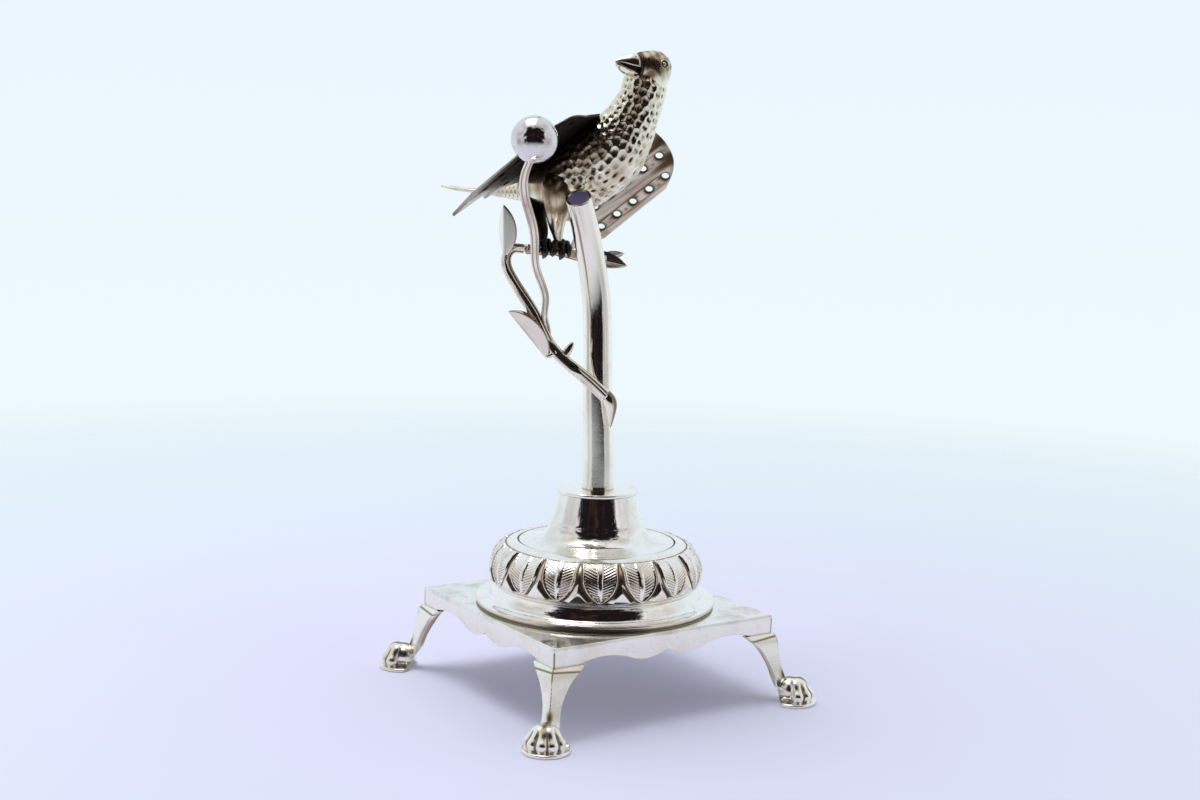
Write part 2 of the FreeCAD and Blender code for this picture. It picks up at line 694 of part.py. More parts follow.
def make_leaves(trunk, vine, perch):
    fold = number("leaf_fold")
    route = vine_route()
    height = number("perch_height")
    upper_base = route[7] + vector(-0.6, -0.6, 0.4)
    upper_tip = vector(-27.2, -9.0, height + 13.0)
    upper = folded_leaf(upper_base, upper_tip, vector(0.8, -0.6, 0), 3.3, fold)
    sculpted("upper_leaf", upper.cut(vine), figure_place())
    lower_seat = route[2] * 0.4 + route[3] * 0.6
    lower_base = lower_seat + vector(-2.5, -0.9, -2.0)
    lower_tip = lower_base + vector(-10.3, -2.5, 12.4)
    lower = folded_leaf(lower_base, lower_tip, vector(0, -1, 0), 4.9, number("sharp_leaf_fold"))
    lower_line = [lower_seat, (lower_seat + lower_base) * 0.5, lower_base + vector(-0.4, 0, 0.3)]
    lower_stalk = bent_bar(lower_line, [0.9, 0.8, 0.6], across=vector(0, 1, 0))
    sculpted("lower_leaf", seated(lower.fuse(lower_stalk), vine), figure_place())
    end = perch_route()[-2]
    tip = vector(6.2, 6.4, height - 3.0)
    cup = folded_leaf(end + vector(-4.6, -1.0, 0.5), tip, vector(0.1, 0.5, 0.86), 2.7, fold)
    sculpted("perch_leaf", seated(cup, trunk, perch, vine), figure_place())
    small_tip = vector(5.4, 8.2, height + 0.4)
    small = folded_leaf(end + vector(0.8, 1.6, -0.4), small_tip, vector(0, 0.3, 1), 1.4, fold)
    sculpted("perch_leaf_small", small.cut(cup).cut(perch).cut(trunk), figure_place())


def make_berry(vine):
    """A hollow ball on a flat stem that springs from the vine."""
    centre = vector(-number("berry_side"), -number("berry_front"), number("berry_height"))
    radius = number("berry_radius")
    ball = document.addObject("Part::Sphere", "berry")
    ball.Label = "berry"
    ball.setExpression("Radius", size.berry_radius.text)
    ball.Placement = FreeCAD.Placement(figure_place().multVec(centre), figure_place().Rotation)
    foot = vine_route()[3]
    top = centre + vector(-1.0, 1.8, 1.0 - radius)
    reach = top - foot
    shares = [(0.04, 0.0, 0.02), (0.16, 0.02, 0.1), (0.27, 0.05, 0.147), (0.24, 0.09, 0.243), (0.46, 0.14, 0.339),
              (0.78, 0.225, 0.44), (0.82, 0.336, 0.535), (0.92, 0.47, 0.652), (1.25, 0.646, 0.782),
              (1.32, 0.845, 0.91), (1.0, 1.0, 1.0)]
    route = [foot + vector(reach.x * x, reach.y * y, reach.z * z) for x, y, z in shares]
    width = number("stem_width") / 2
    depth = number("stem_thickness") / 2
    widths = [width * share for share in (0.6, 0.75, 0.8, 0.85, 0.9, 0.95, 1.0, 1.05, 1.05, 1.0, 0.85)]
    stem = bent_bar(route, widths, [depth] * len(route), across=vector(1, 0, 0))
    sculpted("berry_stem", seated(stem, Part.makeSphere(radius, centre), vine), figure_place())


# ---------------------------------------------------------------- bird

# spine of the body: distance along the heading from the feet, rise over the perch, radius
SPINE = {
    "tail_root": (-12.2, 16.7, 3.1), "rump": (-5.4, 18.3, 6.3), "hip": (2.7, 19.9, 9.3),
    "belly": (10.2, 24.4, 10.3), "breast": (15.8, 28.4, 10.0), "shoulder": (20.1, 33.3, 8.2),
    "neck_base": (23.1, 38.4, 6.7), "neck": (25.1, 42.9, 6.0), "throat": (26.1, 46.6, 5.6),
    "nape": (27.3, 49.4, 3.6),
}


def bird_point(along, rise, aside=0.0):
    heading = math.radians(number("bird_heading"))
    return vector(
        along * math.cos(heading) + aside * math.sin(heading) - number("bird_side"),
        number("bird_depth") - along * math.sin(heading) + aside * math.cos(heading),
        number("perch_height") + rise)


def bird_axes():
    """Forwards, left and up of the pitched bird."""
    heading = math.radians(number("bird_heading"))
    pitch = math.radians(number("bird_pitch"))
    level = vector(math.cos(heading), -math.sin(heading), 0)
    left = vector(math.sin(heading), math.cos(heading), 0)
    forwards = level * math.cos(pitch) + UP * math.sin(pitch)
    return forwards, left, forwards.cross(left)


def make_bird_body():
    route = [bird_point(along, rise) for along, rise, radius in SPINE.values()]
    radii = [radius for along, rise, radius in SPINE.values()]
    left = bird_axes()[1]
    body = bent_bar(route, radii, across=left)
    sculpted("bird_body", body, figure_place())
    return body


def make_head(body):
    """A smooth round head turned back over the right shoulder, with a stout beak."""
    radius = number("head_radius")
    along, rise, throat = SPINE["throat"]
    centre = bird_point(along + 2.4, rise + 3.1)
    turned = math.radians(number("head_turn"))
    look = vector(math.cos(turned), math.sin(turned), 0)
    root = centre + look * radius * 0.66
    crown = [centre - look * radius * 0.99, centre - look * radius * 0.72, centre, root - look * 0.1, root]
    head = bent_bar(crown, [radius * share for share in (0.22, 0.72, 1.0, 0.84, 0.79)], across=UP)
    beak_radius = number("beak_radius")
    beak_length = number("beak_length")
    middle = root + look * (beak_length * 0.5) + vector(0, 0, 0.25)
    tip = root + look * beak_length + vector(0, 0, 0.9)
    beak = bent_bar([root, middle, tip], [beak_radius, beak_radius * 0.7, 0.3],
                    [beak_radius * 0.85, beak_radius * 0.58, 0.25], across=UP)
    sculpted("bird_head", seated(head, body), figure_place())
    sculpted("beak", seated(beak, head, body), figure_place())
    return head


def wing_frame(side):
    """Origin at the front of the wing's root, rearwards, outwards and upper normal."""
    forwards, left, up = bird_axes()
    along, rise, radius = SPINE["breast"]
    origin = bird_point(along, rise) + forwards * number("wing_advance")
    origin = origin + up * number("wing_root_rise") + left * (side * number("wing_root_side"))
    droop = math.radians(number("wing_droop") + side * number("bird_roll"))
    outwards = left * (side * math.cos(droop)) - up * math.sin(droop)
    rearwards = forwards * -1
    normal = outwards.cross(rearwards) * side
    if normal.z < 0:
        normal = normal * -1
    return origin, rearwards, outwards, normal


def wing_outline(bow):
    """Round shoulder in front, straight outer edge, one long feather tip and two short ones."""
    width = number("wing_width")
    length = number("wing_length")
    tip = number("wing_tip_length")
    points = {
        "root": vector(0.6, -3.5), "bow": vector(-bow, width * 0.36), "shoulder": vector(-0.6, width * 0.8),
        "corner": vector(6.6, width * 0.985), "outer": vector(length, width), "tip": vector(length + tip, width * 0.84),
        "notch": vector(length + 1.4, width * 0.66), "second": vector(length + 4.6, width * 0.48),
        "inner_notch": vector(length + 0.6, width * 0.26), "rear": vector(length - 0.5, -3.5),
    }
    front = Part.BSplineCurve()
    front.interpolate([points[name] for name in ("root", "bow", "shoulder", "corner")])
    edges = [front.toShape()]
    names = ["corner", "outer", "tip", "notch", "second", "inner_notch", "rear", "root"]
    for first, last in zip(names, names[1:]):
        edges.append(Part.LineSegment(points[first], points[last]).toShape())
    return Part.Wire(edges)


def hole_places():
    """Staggered rows of holes, counted from the outer edge inwards."""
    places = []
    for row in range(int(number("hole_rows"))):
        stagger = number("hole_pitch") / 2 if row % 2 else 0.0
        for index in range(int(number("holes_per_row"))):
            along = number("hole_front") - stagger + index * number("hole_pitch")
            out = number("wing_width") - number("hole_margin") - row * number("hole_row_pitch")
            places.append((along, out))
    return places


def make_wing(label, side, bow, body):
    origin, rearwards, outwards, normal = wing_frame(side)
    thickness = number("wing_thickness")
    plate = Part.Face(wing_outline(bow)).extrude(vector(0, 0, thickness))
    for along, out in hole_places():
        drill = Part.makeCylinder(number("hole_diameter") / 2, thickness + 2, vector(along, out, -1))
        plate = plate.cut(drill)
    turned = FreeCAD.Rotation(rearwards, outwards, normal, "XYZ")
    if turned.multVec(UP).dot(normal) < 0:
        plate.translate(vector(0, 0, -thickness))
    plate.Placement = FreeCAD.Placement(origin, turned).multiply(plate.Placement)
    sculpted(label, seated(plate, body), figure_place())


def make_tail(body):
    """A scaled root that flattens and widens into a forked feather."""
    left = bird_axes()[1]
    along, rise, radius = SPINE["tail_root"]
    thin = number("tail_thickness") / 2
    fork = number("tail_fork")
    route = [bird_point(along + 1.5, rise), bird_point(along - 5.2, rise - 0.3), bird_point(along - 11, rise - 0.4),
             bird_point(along - 16, rise - 0.2), bird_point(along - 21, rise + 0.1), bird_point(along - 25.4, rise + 0.7)]
    widths = [radius * 0.95, 2.3, 2.7, 3.2, fork * 1.35, fork * 1.2]
    depths = [radius * 0.95, 1.8, thin * 2.2, thin * 1.7, thin * 1.3, thin]
    tail = bent_bar(route, widths, depths, across=left)
    notch = [vector(0, 0), vector(14, -fork * 0.75), vector(14, fork * 0.75)]
    wedge = Part.Face(Part.makePolygon(notch + notch[:1])).extrude(vector(0, 0, 20))
    backwards = bird_point(-1, 0) - bird_point(0, 0)
    turned = FreeCAD.Rotation(backwards, HOME, UP, "XZY")
    wedge.Placement = FreeCAD.Placement(bird_point(along - 16.5, rise - 10), turned)
    sculpted("tail", seated(tail.cut(wedge), body), figure_place())


def make_leg_of_bird(label, route, radii, body, perch):
    leg = bent_bar(route, radii, across=vector(1, 0, 0))
    leg = seated(leg, body, perch)
    sculpted(label, leg, figure_place())
    return leg


def grip(middle, direction):
    """Three toes curled round the perch, joined by a knuckle bar under the leg."""
    bar = number("toe_bar_radius")
    reach = number("perch_radius") + number("toe_grip_clearance") + bar
    spacing = number("toe_spacing")
    across = UP.cross(direction).normalize()
    lift_up = direction.cross(across).normalize() * (reach + bar * 0.3)
    foot = capsule(middle + lift_up - direction * spacing, middle + lift_up + direction * spacing, bar * 1.3, bar * 1.3)
    for step in (-1, 0, 1):
        curl = Part.makeTorus(reach, bar, HOME, UP, -180, 180, 250)
        turned = FreeCAD.Rotation(across, UP, direction, "ZXY")
        curl.Placement = FreeCAD.Placement(middle + direction * (step * spacing), turned)
        foot = foot.fuse(curl)
    return foot


def make_legs_of_bird(body, perch):
    route = perch_route()
    near = route[2]
    far = route[1]
    right_line = [vector(-10.6, -0.6, near.z + 21), vector(-12.3, -2.4, near.z + 17), vector(-12.9, -1.2, near.z + 12.5),
                  vector(-13.2, 0.4, near.z + 9.2), vector(-13.0, 1.6, near.z + 5.4), near + vector(-0.2, 0, 2.2)]
    legs = {}
    legs["right_foot"] = make_leg_of_bird("right_leg", right_line, [4.2, 4.9, 3.5, 2.1, 1.15, 1.0], body, perch)
    left_line = [vector(-17.6, 7.6, far.z + 21), vector(-19.2, 7.6, far.z + 17), vector(-19.3, 6.0, far.z + 12.0),
                 vector(-18.4, 4.0, far.z + 8.0), vector(-17.2, 2.0, far.z + 4.8), far + vector(0, 0, 2.2)]
    legs["left_foot"] = make_leg_of_bird("left_leg", left_line, [2.6, 3.4, 2.6, 1.8, 1.2, 1.0], body, perch)
    for label, index in (("right_foot", 2), ("left_foot", 1)):
        direction = (route[index + 1] - route[index - 1]).normalize()
        foot = seated(grip(route[index], direction), perch, legs[label])
        sculpted(label, foot, figure_place())


# ---------------------------------------------------------------- building and writing

def build():
    make_platform()
    for label, turned in (("apron_front", 0), ("apron_right", 90), ("apron_back", 180), ("apron_left", 270)):
        make_apron(label, turned)
    make_legs()
    make_foot_ring()
    make_leaf_band()
    make_bell()
    make_collar()
    make_fastening()
    trunk = make_trunk()
    vine = make_vine(trunk)
    perch = make_perch(trunk, vine)
    make_leaves(trunk, vine, perch)
    make_berry(vine)
    body = make_bird_body()
    make_head(body)
    make_wing("right_wing", -1, number("right_wing_bow"), body)
    make_wing("left_wing", 1, number("left_wing_bow"), body)
    make_tail(body)
    make_legs_of_bird(body, perch)
    document.recompute()


NODES = [
    "platform_top", "apron_front", "apron_right", "apron_back", "apron_left",
    "leg_front_left", "leg_front_right", "leg_back_right", "leg_back_left",
    "foot_ring", "leaf_band", "dome_bell", "dome_collar", "clamp_washer", "clamp_nut", "tie_rod",
    "trunk", "trunk_cap", "vine", "vine_bud", "perch", "upper_leaf", "lower_leaf",
    "perch_leaf", "perch_leaf_small", "berry", "berry_stem",
    "bird_body", "bird_head", "beak", "right_wing", "left_wing", "tail",
    "right_leg", "left_leg", "right_foot", "left_foot",
]


def check_and_export():
    """Stops on any broken feature, then writes one file for each piece."""
    for item in document.Objects:
        if {"Invalid", "Error"} & set(item.State):
            raise RuntimeError(f"{item.Label} did not compute: {item.State}")
    os.makedirs("parts", exist_ok=True)
    broken = []
    for label in NODES:
        shape = document.getObjectsByLabel(label)[0].Shape
        if shape.isNull() or not shape.isValid() or len(shape.Solids) != 1:
            broken.append(f"{label} ({len(shape.Solids)} solids, valid {shape.isValid()})")
            continue
        shape.exportStep(f"parts/{label}.step")
    if broken:
        raise RuntimeError("not one valid solid: " + ", ".join(broken))


build()
check_and_export()
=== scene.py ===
"""Visual model of a small cast silver toothpick holder: a bird with pierced wings on a branch over a dome.

Lengths are in millimetres until a piece is made. The figure is laid out square to its own front and is
then turned about the stem's axis and set on the collar.
"""

from math import atan2, cos, hypot, pi, radians, sin, sqrt

import bmesh
import bpy
import numpy as np
from mathutils import Matrix, Vector


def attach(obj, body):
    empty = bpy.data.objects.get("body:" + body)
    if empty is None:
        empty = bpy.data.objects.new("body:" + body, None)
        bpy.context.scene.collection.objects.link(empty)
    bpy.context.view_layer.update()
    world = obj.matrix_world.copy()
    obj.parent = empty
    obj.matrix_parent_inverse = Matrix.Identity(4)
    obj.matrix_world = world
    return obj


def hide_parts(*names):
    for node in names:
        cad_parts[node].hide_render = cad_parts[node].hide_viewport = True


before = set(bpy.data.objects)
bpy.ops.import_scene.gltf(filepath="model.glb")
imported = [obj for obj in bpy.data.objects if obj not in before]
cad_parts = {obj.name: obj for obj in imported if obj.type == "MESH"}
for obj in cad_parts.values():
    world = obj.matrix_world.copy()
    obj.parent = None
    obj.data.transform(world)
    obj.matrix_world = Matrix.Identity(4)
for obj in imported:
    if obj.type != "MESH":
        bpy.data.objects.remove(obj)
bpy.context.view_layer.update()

MM = 0.001
MERGE = 1e-6            # metres between points that become one
FULL = 2 * pi
UP = np.array([0.0, 0.0, 1.0])
FRONT, RIGHT = (0, -1, 0), (1, 0, 0)

CORNER = 35.0           # from the axis to each side of the plate
PLATE_TOP, PLATE_THICK = 24.0, 1.0
BAND_FLOOR, BELL_FLOOR, COLLAR_FLOOR, COLLAR_TOP = 29.6, 41.5, 54.9, 55.95
ROD_HOLE = 2.3
FIGURE_PLACE = Matrix.Translation((0, 0, COLLAR_TOP * MM)) @ Matrix.Rotation(radians(-33.7), 4, "Z")


# ---------------------------------------------------------------- lines and tones

def vec(x, y, z):
    return np.array([x, y, z], float)


def unit(v):
    v = np.asarray(v, float)
    return v / np.linalg.norm(v, axis=-1, keepdims=True)


def ramp(x, low, high):
    """Smooth step from 0 at low to 1 at high."""
    t = np.clip((x - low) / (high - low), 0, 1)
    return t * t * (3 - 2 * t)


def hump(x, width):
    return np.exp(-(x / width) ** 2)


def clouds(a, b):
    """Soft patches between 0 and 1."""
    return 0.5 + 0.5 * np.sin(a) * np.sin(b)


def darkest(*tones):
    """The strongest of several tones at each place, held between 0 and 1."""
    return np.clip(np.maximum.reduce(np.broadcast_arrays(*tones)), 0, 1)


def circle(count):
    """Angles evenly round a full turn."""
    return np.linspace(0, FULL, count, endpoint=False)


def wrapped(angle):
    """An angle brought between minus pi and pi."""
    return (angle + pi) % FULL - pi


def lengths(path):
    """Length along a path at each of its points."""
    return np.concatenate([[0], np.cumsum(np.linalg.norm(np.diff(path, axis=0), axis=1))])


def closing(distance, over):
    """Share of the radius that is left at a distance from a rounded end."""
    return np.sqrt(np.clip(1 - (1 - np.minimum(distance / over, 1)) ** 2, 0.0004, 1))


def natural(knots, count):
    """Points along a natural cubic through the knots. Columns after the third ride along, such as radii."""
    k = np.asarray(knots, float)
    gap = np.linalg.norm(np.diff(k[:, :3], axis=0), axis=1)
    places = lengths(k[:, :3])
    n = len(k)
    a, r = np.zeros((n, n)), np.zeros_like(k)
    a[0, 0] = a[-1, -1] = 1
    for i in range(1, n - 1):
        a[i, i - 1:i + 2] = gap[i - 1], 2 * (gap[i - 1] + gap[i]), gap[i]
        r[i] = 6 * ((k[i + 1] - k[i]) / gap[i] - (k[i] - k[i - 1]) / gap[i - 1])
    m = np.linalg.solve(a, r)
    s = np.linspace(0, places[-1], count)
    i = np.clip(np.searchsorted(places, s, "right") - 1, 0, n - 2)
    h, u, v = gap[i][:, None], (s - places[i])[:, None], (places[i + 1] - s)[:, None]
    bend = (m[i] * v ** 3 + m[i + 1] * u ** 3) / (6 * h)
    return bend + (k[i] / h - m[i] * h / 6) * v + (k[i + 1] / h - m[i + 1] * h / 6) * u


def knots_from(start, *steps):
    """Knots at steps (x, y, z, more) from a start."""
    return [(*(start + vec(*step[:3])), *step[3:]) for step in steps]


def circle_through(a, b, c):
    ax, ay, bx, by, cx, cy = *a, *b, *c
    d = 2 * (ax * (by - cy) + bx * (cy - ay) + cx * (ay - by))
    p, q, r = ax * ax + ay * ay, bx * bx + by * by, cx * cx + cy * cy
    x = (p * (by - cy) + q * (cy - ay) + r * (ay - by)) / d
    y = (p * (cx - bx) + q * (ax - cx) + r * (bx - ax)) / d
    return x, y, hypot(ax - x, ay - y)


def arcs(start, *parts):
    """Points along a chain of arcs from a start; each part is (via, end, count)."""
    points = [start]
    for via, end, count in parts:
        first = points[-1]
        x, y, radius = circle_through(first, via, end)
        a, b, c = (atan2(p[1] - y, p[0] - x) for p in (first, via, end))
        way = (c - a) % FULL if (b - a) % FULL < (c - a) % FULL else -((a - c) % FULL)
        points += [(x + radius * cos(a + way * i / count), y + radius * sin(a + way * i / count))
                   for i in range(1, count + 1)]
    return points


# ---------------------------------------------------------------- working on meshes

def cleared():
    bpy.ops.object.select_all(action="DESELECT")


def chosen(piece):
    """Makes a piece the only one selected."""
    cleared()
    piece.select_set(True)
    bpy.context.view_layer.objects.active = piece
    return piece


def to_edit(select="SELECT"):
    bpy.ops.object.mode_set(mode="EDIT")
    bpy.ops.mesh.select_all(action=select)


def to_object():
    bpy.ops.object.mode_set(mode="OBJECT")


def picked(piece, kind, rule):
    """Goes to edit mode with only the edges or faces selected for which a rule holds."""
    to_edit("DESELECT")
    bm = bmesh.from_edit_mesh(piece.data)
    for part in {"edges": bm.edges, "faces": bm.faces}[kind]:
        part.select = rule(part)
    bmesh.update_edit_mesh(piece.data)


def sewn(gap=None):
    """Merges points nearer than gap, turns all faces outwards and leaves edit mode."""
    bpy.ops.mesh.select_all(action="SELECT")
    if gap:
        bpy.ops.mesh.remove_doubles(threshold=gap)
    bpy.ops.mesh.normals_make_consistent(inside=False)
    to_object()


def noted(piece, tone=0.0):
    """Writes on each point how dark it is painted: mostly painted shade in recesses, with some oxide."""
    mesh = piece.data
    layer = mesh.attributes.get("tone") or mesh.attributes.new("tone", "FLOAT", "POINT")
    values = np.asarray(tone, np.float32).reshape(-1)
    layer.data.foreach_set("value", np.broadcast_to(values, (len(mesh.vertices),)).copy())
    return piece


def read_points(piece):
    points = np.zeros(len(piece.data.vertices) * 3)
    piece.data.vertices.foreach_get("co", points)
    return points.reshape(-1, 3) / MM


def set_points(piece, points):
    piece.data.vertices.foreach_set("co", (np.asarray(points, float).reshape(-1, 3) * MM).ravel())
    piece.data.update()


def woven(points, tone=0.0, caps=True, loop=False):
    """A grid laid over rows of points and closed around; its seam is merged and its ends are filled."""
    points = np.asarray(points, float)
    tone = np.broadcast_to(np.asarray(tone, float), points.shape[:2])
    points, tone = (np.concatenate([v, v[:, :1]], axis=1) for v in (points, tone))
    if loop:
        points, tone = (np.concatenate([v, v[:1]], axis=0) for v in (points, tone))
    rows, columns = tone.shape
    cleared()
    bpy.ops.mesh.primitive_grid_add(x_subdivisions=columns - 1, y_subdivisions=rows - 1, size=1)
    piece = noted(bpy.context.object, tone)
    set_points(piece, points)
    to_edit()
    bpy.ops.mesh.remove_doubles(threshold=MERGE)
    if caps:
        bpy.ops.mesh.fill_holes(sides=0)
        bpy.ops.mesh.select_all(action="SELECT")
    bpy.ops.mesh.normals_make_consistent(inside=False)
    if bmesh.from_edit_mesh(piece.data).calc_volume(signed=True) < 0:
        bpy.ops.mesh.flip_normals()
    to_object()
    return piece


def merged(pieces):
    cleared()
    for piece in pieces:
        piece.select_set(True)
    bpy.context.view_layer.objects.active = pieces[0]
    bpy.ops.object.join()
    return bpy.context.object


def linked(name, data):
    """A new object with its data, put in the scene."""
    made = bpy.data.objects.new(name, data)
    bpy.context.scene.collection.objects.link(made)
    return made


def copied(piece, change):
    """A copy with a mesh of its own, moved inside that mesh."""
    copy = linked(piece.name, piece.data.copy())
    copy.data.transform(change)
    return copy


def applied(piece, kind, **settings):
    """A modifier put on a piece and applied."""
    chosen(piece)
    modifier = piece.modifiers.new("work", kind)
    for key, value in settings.items():
        setattr(modifier, key, value)
    bpy.ops.object.modifier_apply(modifier="work")
    return piece


def carried(path, reference):
    """Tangent and two directions across a path, the first as near as it can be to the reference."""
    tangent = unit(np.gradient(path, axis=0))
    reference = np.asarray(reference, float)
    first = unit(reference - tangent * (tangent @ reference)[:, None])
    return tangent, first, np.cross(tangent, first)


def spokes(first, second, x, y):
    """Steps from a path's points, x along the first direction and y along the second."""
    return first[:, None] * x[..., None] + second[:, None] * y[..., None]


def plain(angle, along):
    return 1.0, 0.0


def swept(path, widths, depths, reference, around=48, carve=plain, ends=0.0):
    """Oval sections square to a path. carve(angle, along) gives a scale and a tone; ends rounds both ends."""
    tangent, first, second = carried(path, reference)
    angle, along = circle(around), lengths(path)
    widths, depths = (np.broadcast_to(v, (len(path),)) for v in (widths, depths))
    if ends:
        left = closing(np.minimum(along, along[-1] - along), ends)
        widths, depths = widths * left, depths * left
    scale, tone = carve(angle[None, :], along[:, None])
    x, y = widths[:, None] * np.cos(angle) * scale, depths[:, None] * np.sin(angle) * scale
    return woven(path[:, None] + spokes(first, second, x, y), tone)


def tube(route, reference, around, carve=plain, ends=0.0):
    """A bar along a route whose fourth column is its radius."""
    return swept(route[:, :3], route[:, 3], route[:, 3], reference, around, carve, ends)


def outlined(profile):
    """A loop of edges through (across, up) points on the front plane, from a circle with as many points."""
    cleared()
    bpy.ops.mesh.primitive_circle_add(vertices=len(profile), radius=1, fill_type="NOTHING")
    piece = bpy.context.object
    set_points(piece, [(x, 0, z) for x, z in profile])
    return piece


def turned(profile, lift, around, tone=0.0):
    """A closed loop of (radius, height) points, lifted and spun about the upright axis."""
    piece = noted(outlined([(r, z + lift) for r, z in profile]), tone)
    to_edit()
    bpy.ops.mesh.spin(steps=around, angle=FULL, center=(0, 0, 0), axis=(0, 0, 1))
    sewn(MERGE)
    return piece


def settled():
    """The primitive just added, with its place and turn put into its mesh."""
    piece = chosen(bpy.context.object)
    bpy.ops.object.transform_apply(location=True, rotation=True, scale=True)
    return piece


def ball(centre, radius, tone=0.0):
    cleared()
    bpy.ops.mesh.primitive_uv_sphere_add(segments=32, ring_count=20, radius=radius * MM,
                                         location=tuple(np.asarray(centre) * MM))
    return noted(settled(), tone)


def hoop(centre, axis, radius, bar, tone=0.0):
    """A full ring of round bar about an axis."""
    cleared()
    bpy.ops.mesh.primitive_torus_add(major_segments=40, minor_segments=12, major_radius=radius * MM,
                                     minor_radius=bar * MM, location=tuple(np.asarray(centre) * MM),
                                     rotation=Vector(axis).to_track_quat("Z", "Y").to_euler())
    return noted(settled(), tone)


def cylinder(vertices, radius, depth, x, z):
    cleared()
    bpy.ops.mesh.primitive_cylinder_add(vertices=vertices, radius=radius * MM, depth=depth * MM,
                                        location=(x * MM, 0, z * MM))
    return settled()


def softened(piece, width, segments):
    return applied(piece, "BEVEL", width=width * MM, segments=segments, limit_method="ANGLE")


def drilled(piece, vertices, radius, height):
    """An upright hole cut through a piece on the axis."""
    drill = cylinder(vertices, radius, 10, 0, height)
    applied(piece, "BOOLEAN", operation="DIFFERENCE", solver="EXACT", object=drill)
    bpy.data.objects.remove(drill)
    return noted(piece)


# ---------------------------------------------------------------- materials

class Graph:
    """The node tree of a material or a world, filled from empty."""

    def __init__(self, owner):
        owner.use_nodes = True
        self.tree = owner.node_tree
        self.tree.nodes.clear()

    def node(self, kind, inputs=None, output=0, **settings):
        """A new node with its inputs linked or set; the answer is one of its outputs."""
        made = self.tree.nodes.new(kind)
        for key, value in settings.items():
            setattr(made, key, value)
        for key, value in (inputs or {}).items():
            if isinstance(value, bpy.types.NodeSocket):
                self.tree.links.new(value, made.inputs[key])
            else:
                made.inputs[key].default_value = value
        return made.outputs[output] if made.outputs else None

    def maths(self, operation, a, b=0.0, c=0.0, clamp=False):
        return self.node("ShaderNodeMath", {0: a, 1: b, 2: c}, operation=operation, use_clamp=clamp)

    def ray(self, kind):
        """1 for camera or glossy rays, 0 for all others."""
        return self.node("ShaderNodeLightPath", output="Is " + kind + " Ray")

    def plus(self, a, b):
        return self.maths("ADD", a, b)

    def times(self, a, b):
        return self.maths("MULTIPLY", a, b)

    def most(self, a, b):
        return self.maths("MAXIMUM", a, b)

    def ranged(self, value, low, high, start=0.0, end=1.0):
        return self.node("ShaderNodeMapRange", {"Value": value, "From Min": low, "From Max": high,
                                                "To Min": start, "To Max": end})

    def blended(self, factor, *colours):
        a, b = (c if isinstance(c, bpy.types.NodeSocket) else (*c, 1) for c in colours)
        return self.node("ShaderNodeMix", {"Factor": factor, 6: a, 7: b}, 2, data_type="RGBA")

    def noise(self, where, scale, detail, roughness=0.5):
        return self.node("ShaderNodeTexNoise", {"Vector": where, "Scale": scale, "Detail": detail,
                                                "Roughness": roughness})


def metal(name, bright, stain, dark, rough, stained, dents, scratches=0.5, dulled=0.3):
    """Worn metal: cloudy stains, painted shade and reflection from the tone attribute (with some oxide in
    recesses), fine scratches and small dents.
    """
    material = bpy.data.materials.new(name)
    graph = Graph(material)
    where = graph.node("ShaderNodeTexCoord", output="Object")
    tone = graph.node("ShaderNodeAttribute", output="Fac", attribute_name="tone")
    cloud = graph.noise(where, 95.0, 7.0, 0.62)
    spots = graph.noise(where, 420.0, 4.0, 0.6)
    wave = graph.noise(where, 170.0, 1.5, 0.4)

    def streaks(turn, scale, detail, low, high):
        drawn = graph.node("ShaderNodeMapping", {"Vector": where, "Rotation": turn, "Scale": scale})
        return graph.ranged(graph.noise(drawn, 1.0, detail), low, high)

    lines = graph.plus(streaks((0.5, 0.3, 0.7), (260, 3600, 1500), 3.0, 0.6, 0.72),
                       streaks((1.1, 0.9, -0.4), (3900, 300, 900), 2.0, 0.62, 0.74))
    specks = graph.times(graph.ranged(spots, 0.58, 0.72), 0.7)
    mask = graph.times(graph.most(graph.ranged(cloud, 0.5, 0.72), specks), stained)
    # The tone paints shade: a little tone pulls towards the stain colour, more towards the dark colour.
    clouded = graph.most(mask, graph.ranged(tone, 0.02, 0.5))
    darkness = graph.ranged(tone, 0.3, 1.0)
    colour = graph.blended(darkness, graph.blended(clouded, bright, stain), dark)
    roughness = graph.maths("MULTIPLY_ADD", clouded, 0.14, rough)
    roughness = graph.plus(roughness, graph.times(darkness, dulled))
    roughness = graph.maths("ADD", roughness, graph.times(lines, 0.05 * scratches), clamp=True)
    height = graph.plus(graph.times(wave, dents), graph.times(lines, -0.010 * scratches))
    height = graph.plus(height, graph.times(spots, dents * 0.12))
    bump = graph.node("ShaderNodeBump", {"Height": height, "Strength": 1.0, "Distance": MM})
    body = graph.node("ShaderNodeBsdfPrincipled", {"Base Color": colour, "Metallic": 1.0,
                                                   "Roughness": roughness, "Normal": bump})
    graph.node("ShaderNodeOutputMaterial", {"Surface": body})
    return material


# After the name: the colours of the bright metal, of its stains and of the painted shade in its recesses, then
# the roughness, how much is stained and how deep dents are. Scratches and the dulling of recesses come last.
POLISHED = metal("polished_silver_worn", (0.91, 0.89, 0.85), (0.66, 0.58, 0.45), (0.03, 0.022, 0.018),
                 0.09, 0.6, 0.045)
TUBE = metal("polished_tube_silver", (0.95, 0.905, 0.83), (0.7, 0.6, 0.48), (0.03, 0.024, 0.02),
             0.08, 0.6, 0.025)
SATIN = metal("satin_plate_silver", (0.84, 0.825, 0.79), (0.5, 0.43, 0.34), (0.04, 0.032, 0.027),
              0.14, 0.85, 0.03, 1.0)
APRON_SILVER = metal("satin_strip_silver", (0.89, 0.87, 0.83), (0.78, 0.7, 0.56), (0.09, 0.06, 0.035),
                     0.24, 0.6, 0.03, 0.8)
CAST = metal("cast_leg_silver", (0.9, 0.88, 0.82), (0.66, 0.57, 0.4), (0.05, 0.035, 0.022),
             0.19, 0.55, 0.05, 0.6)
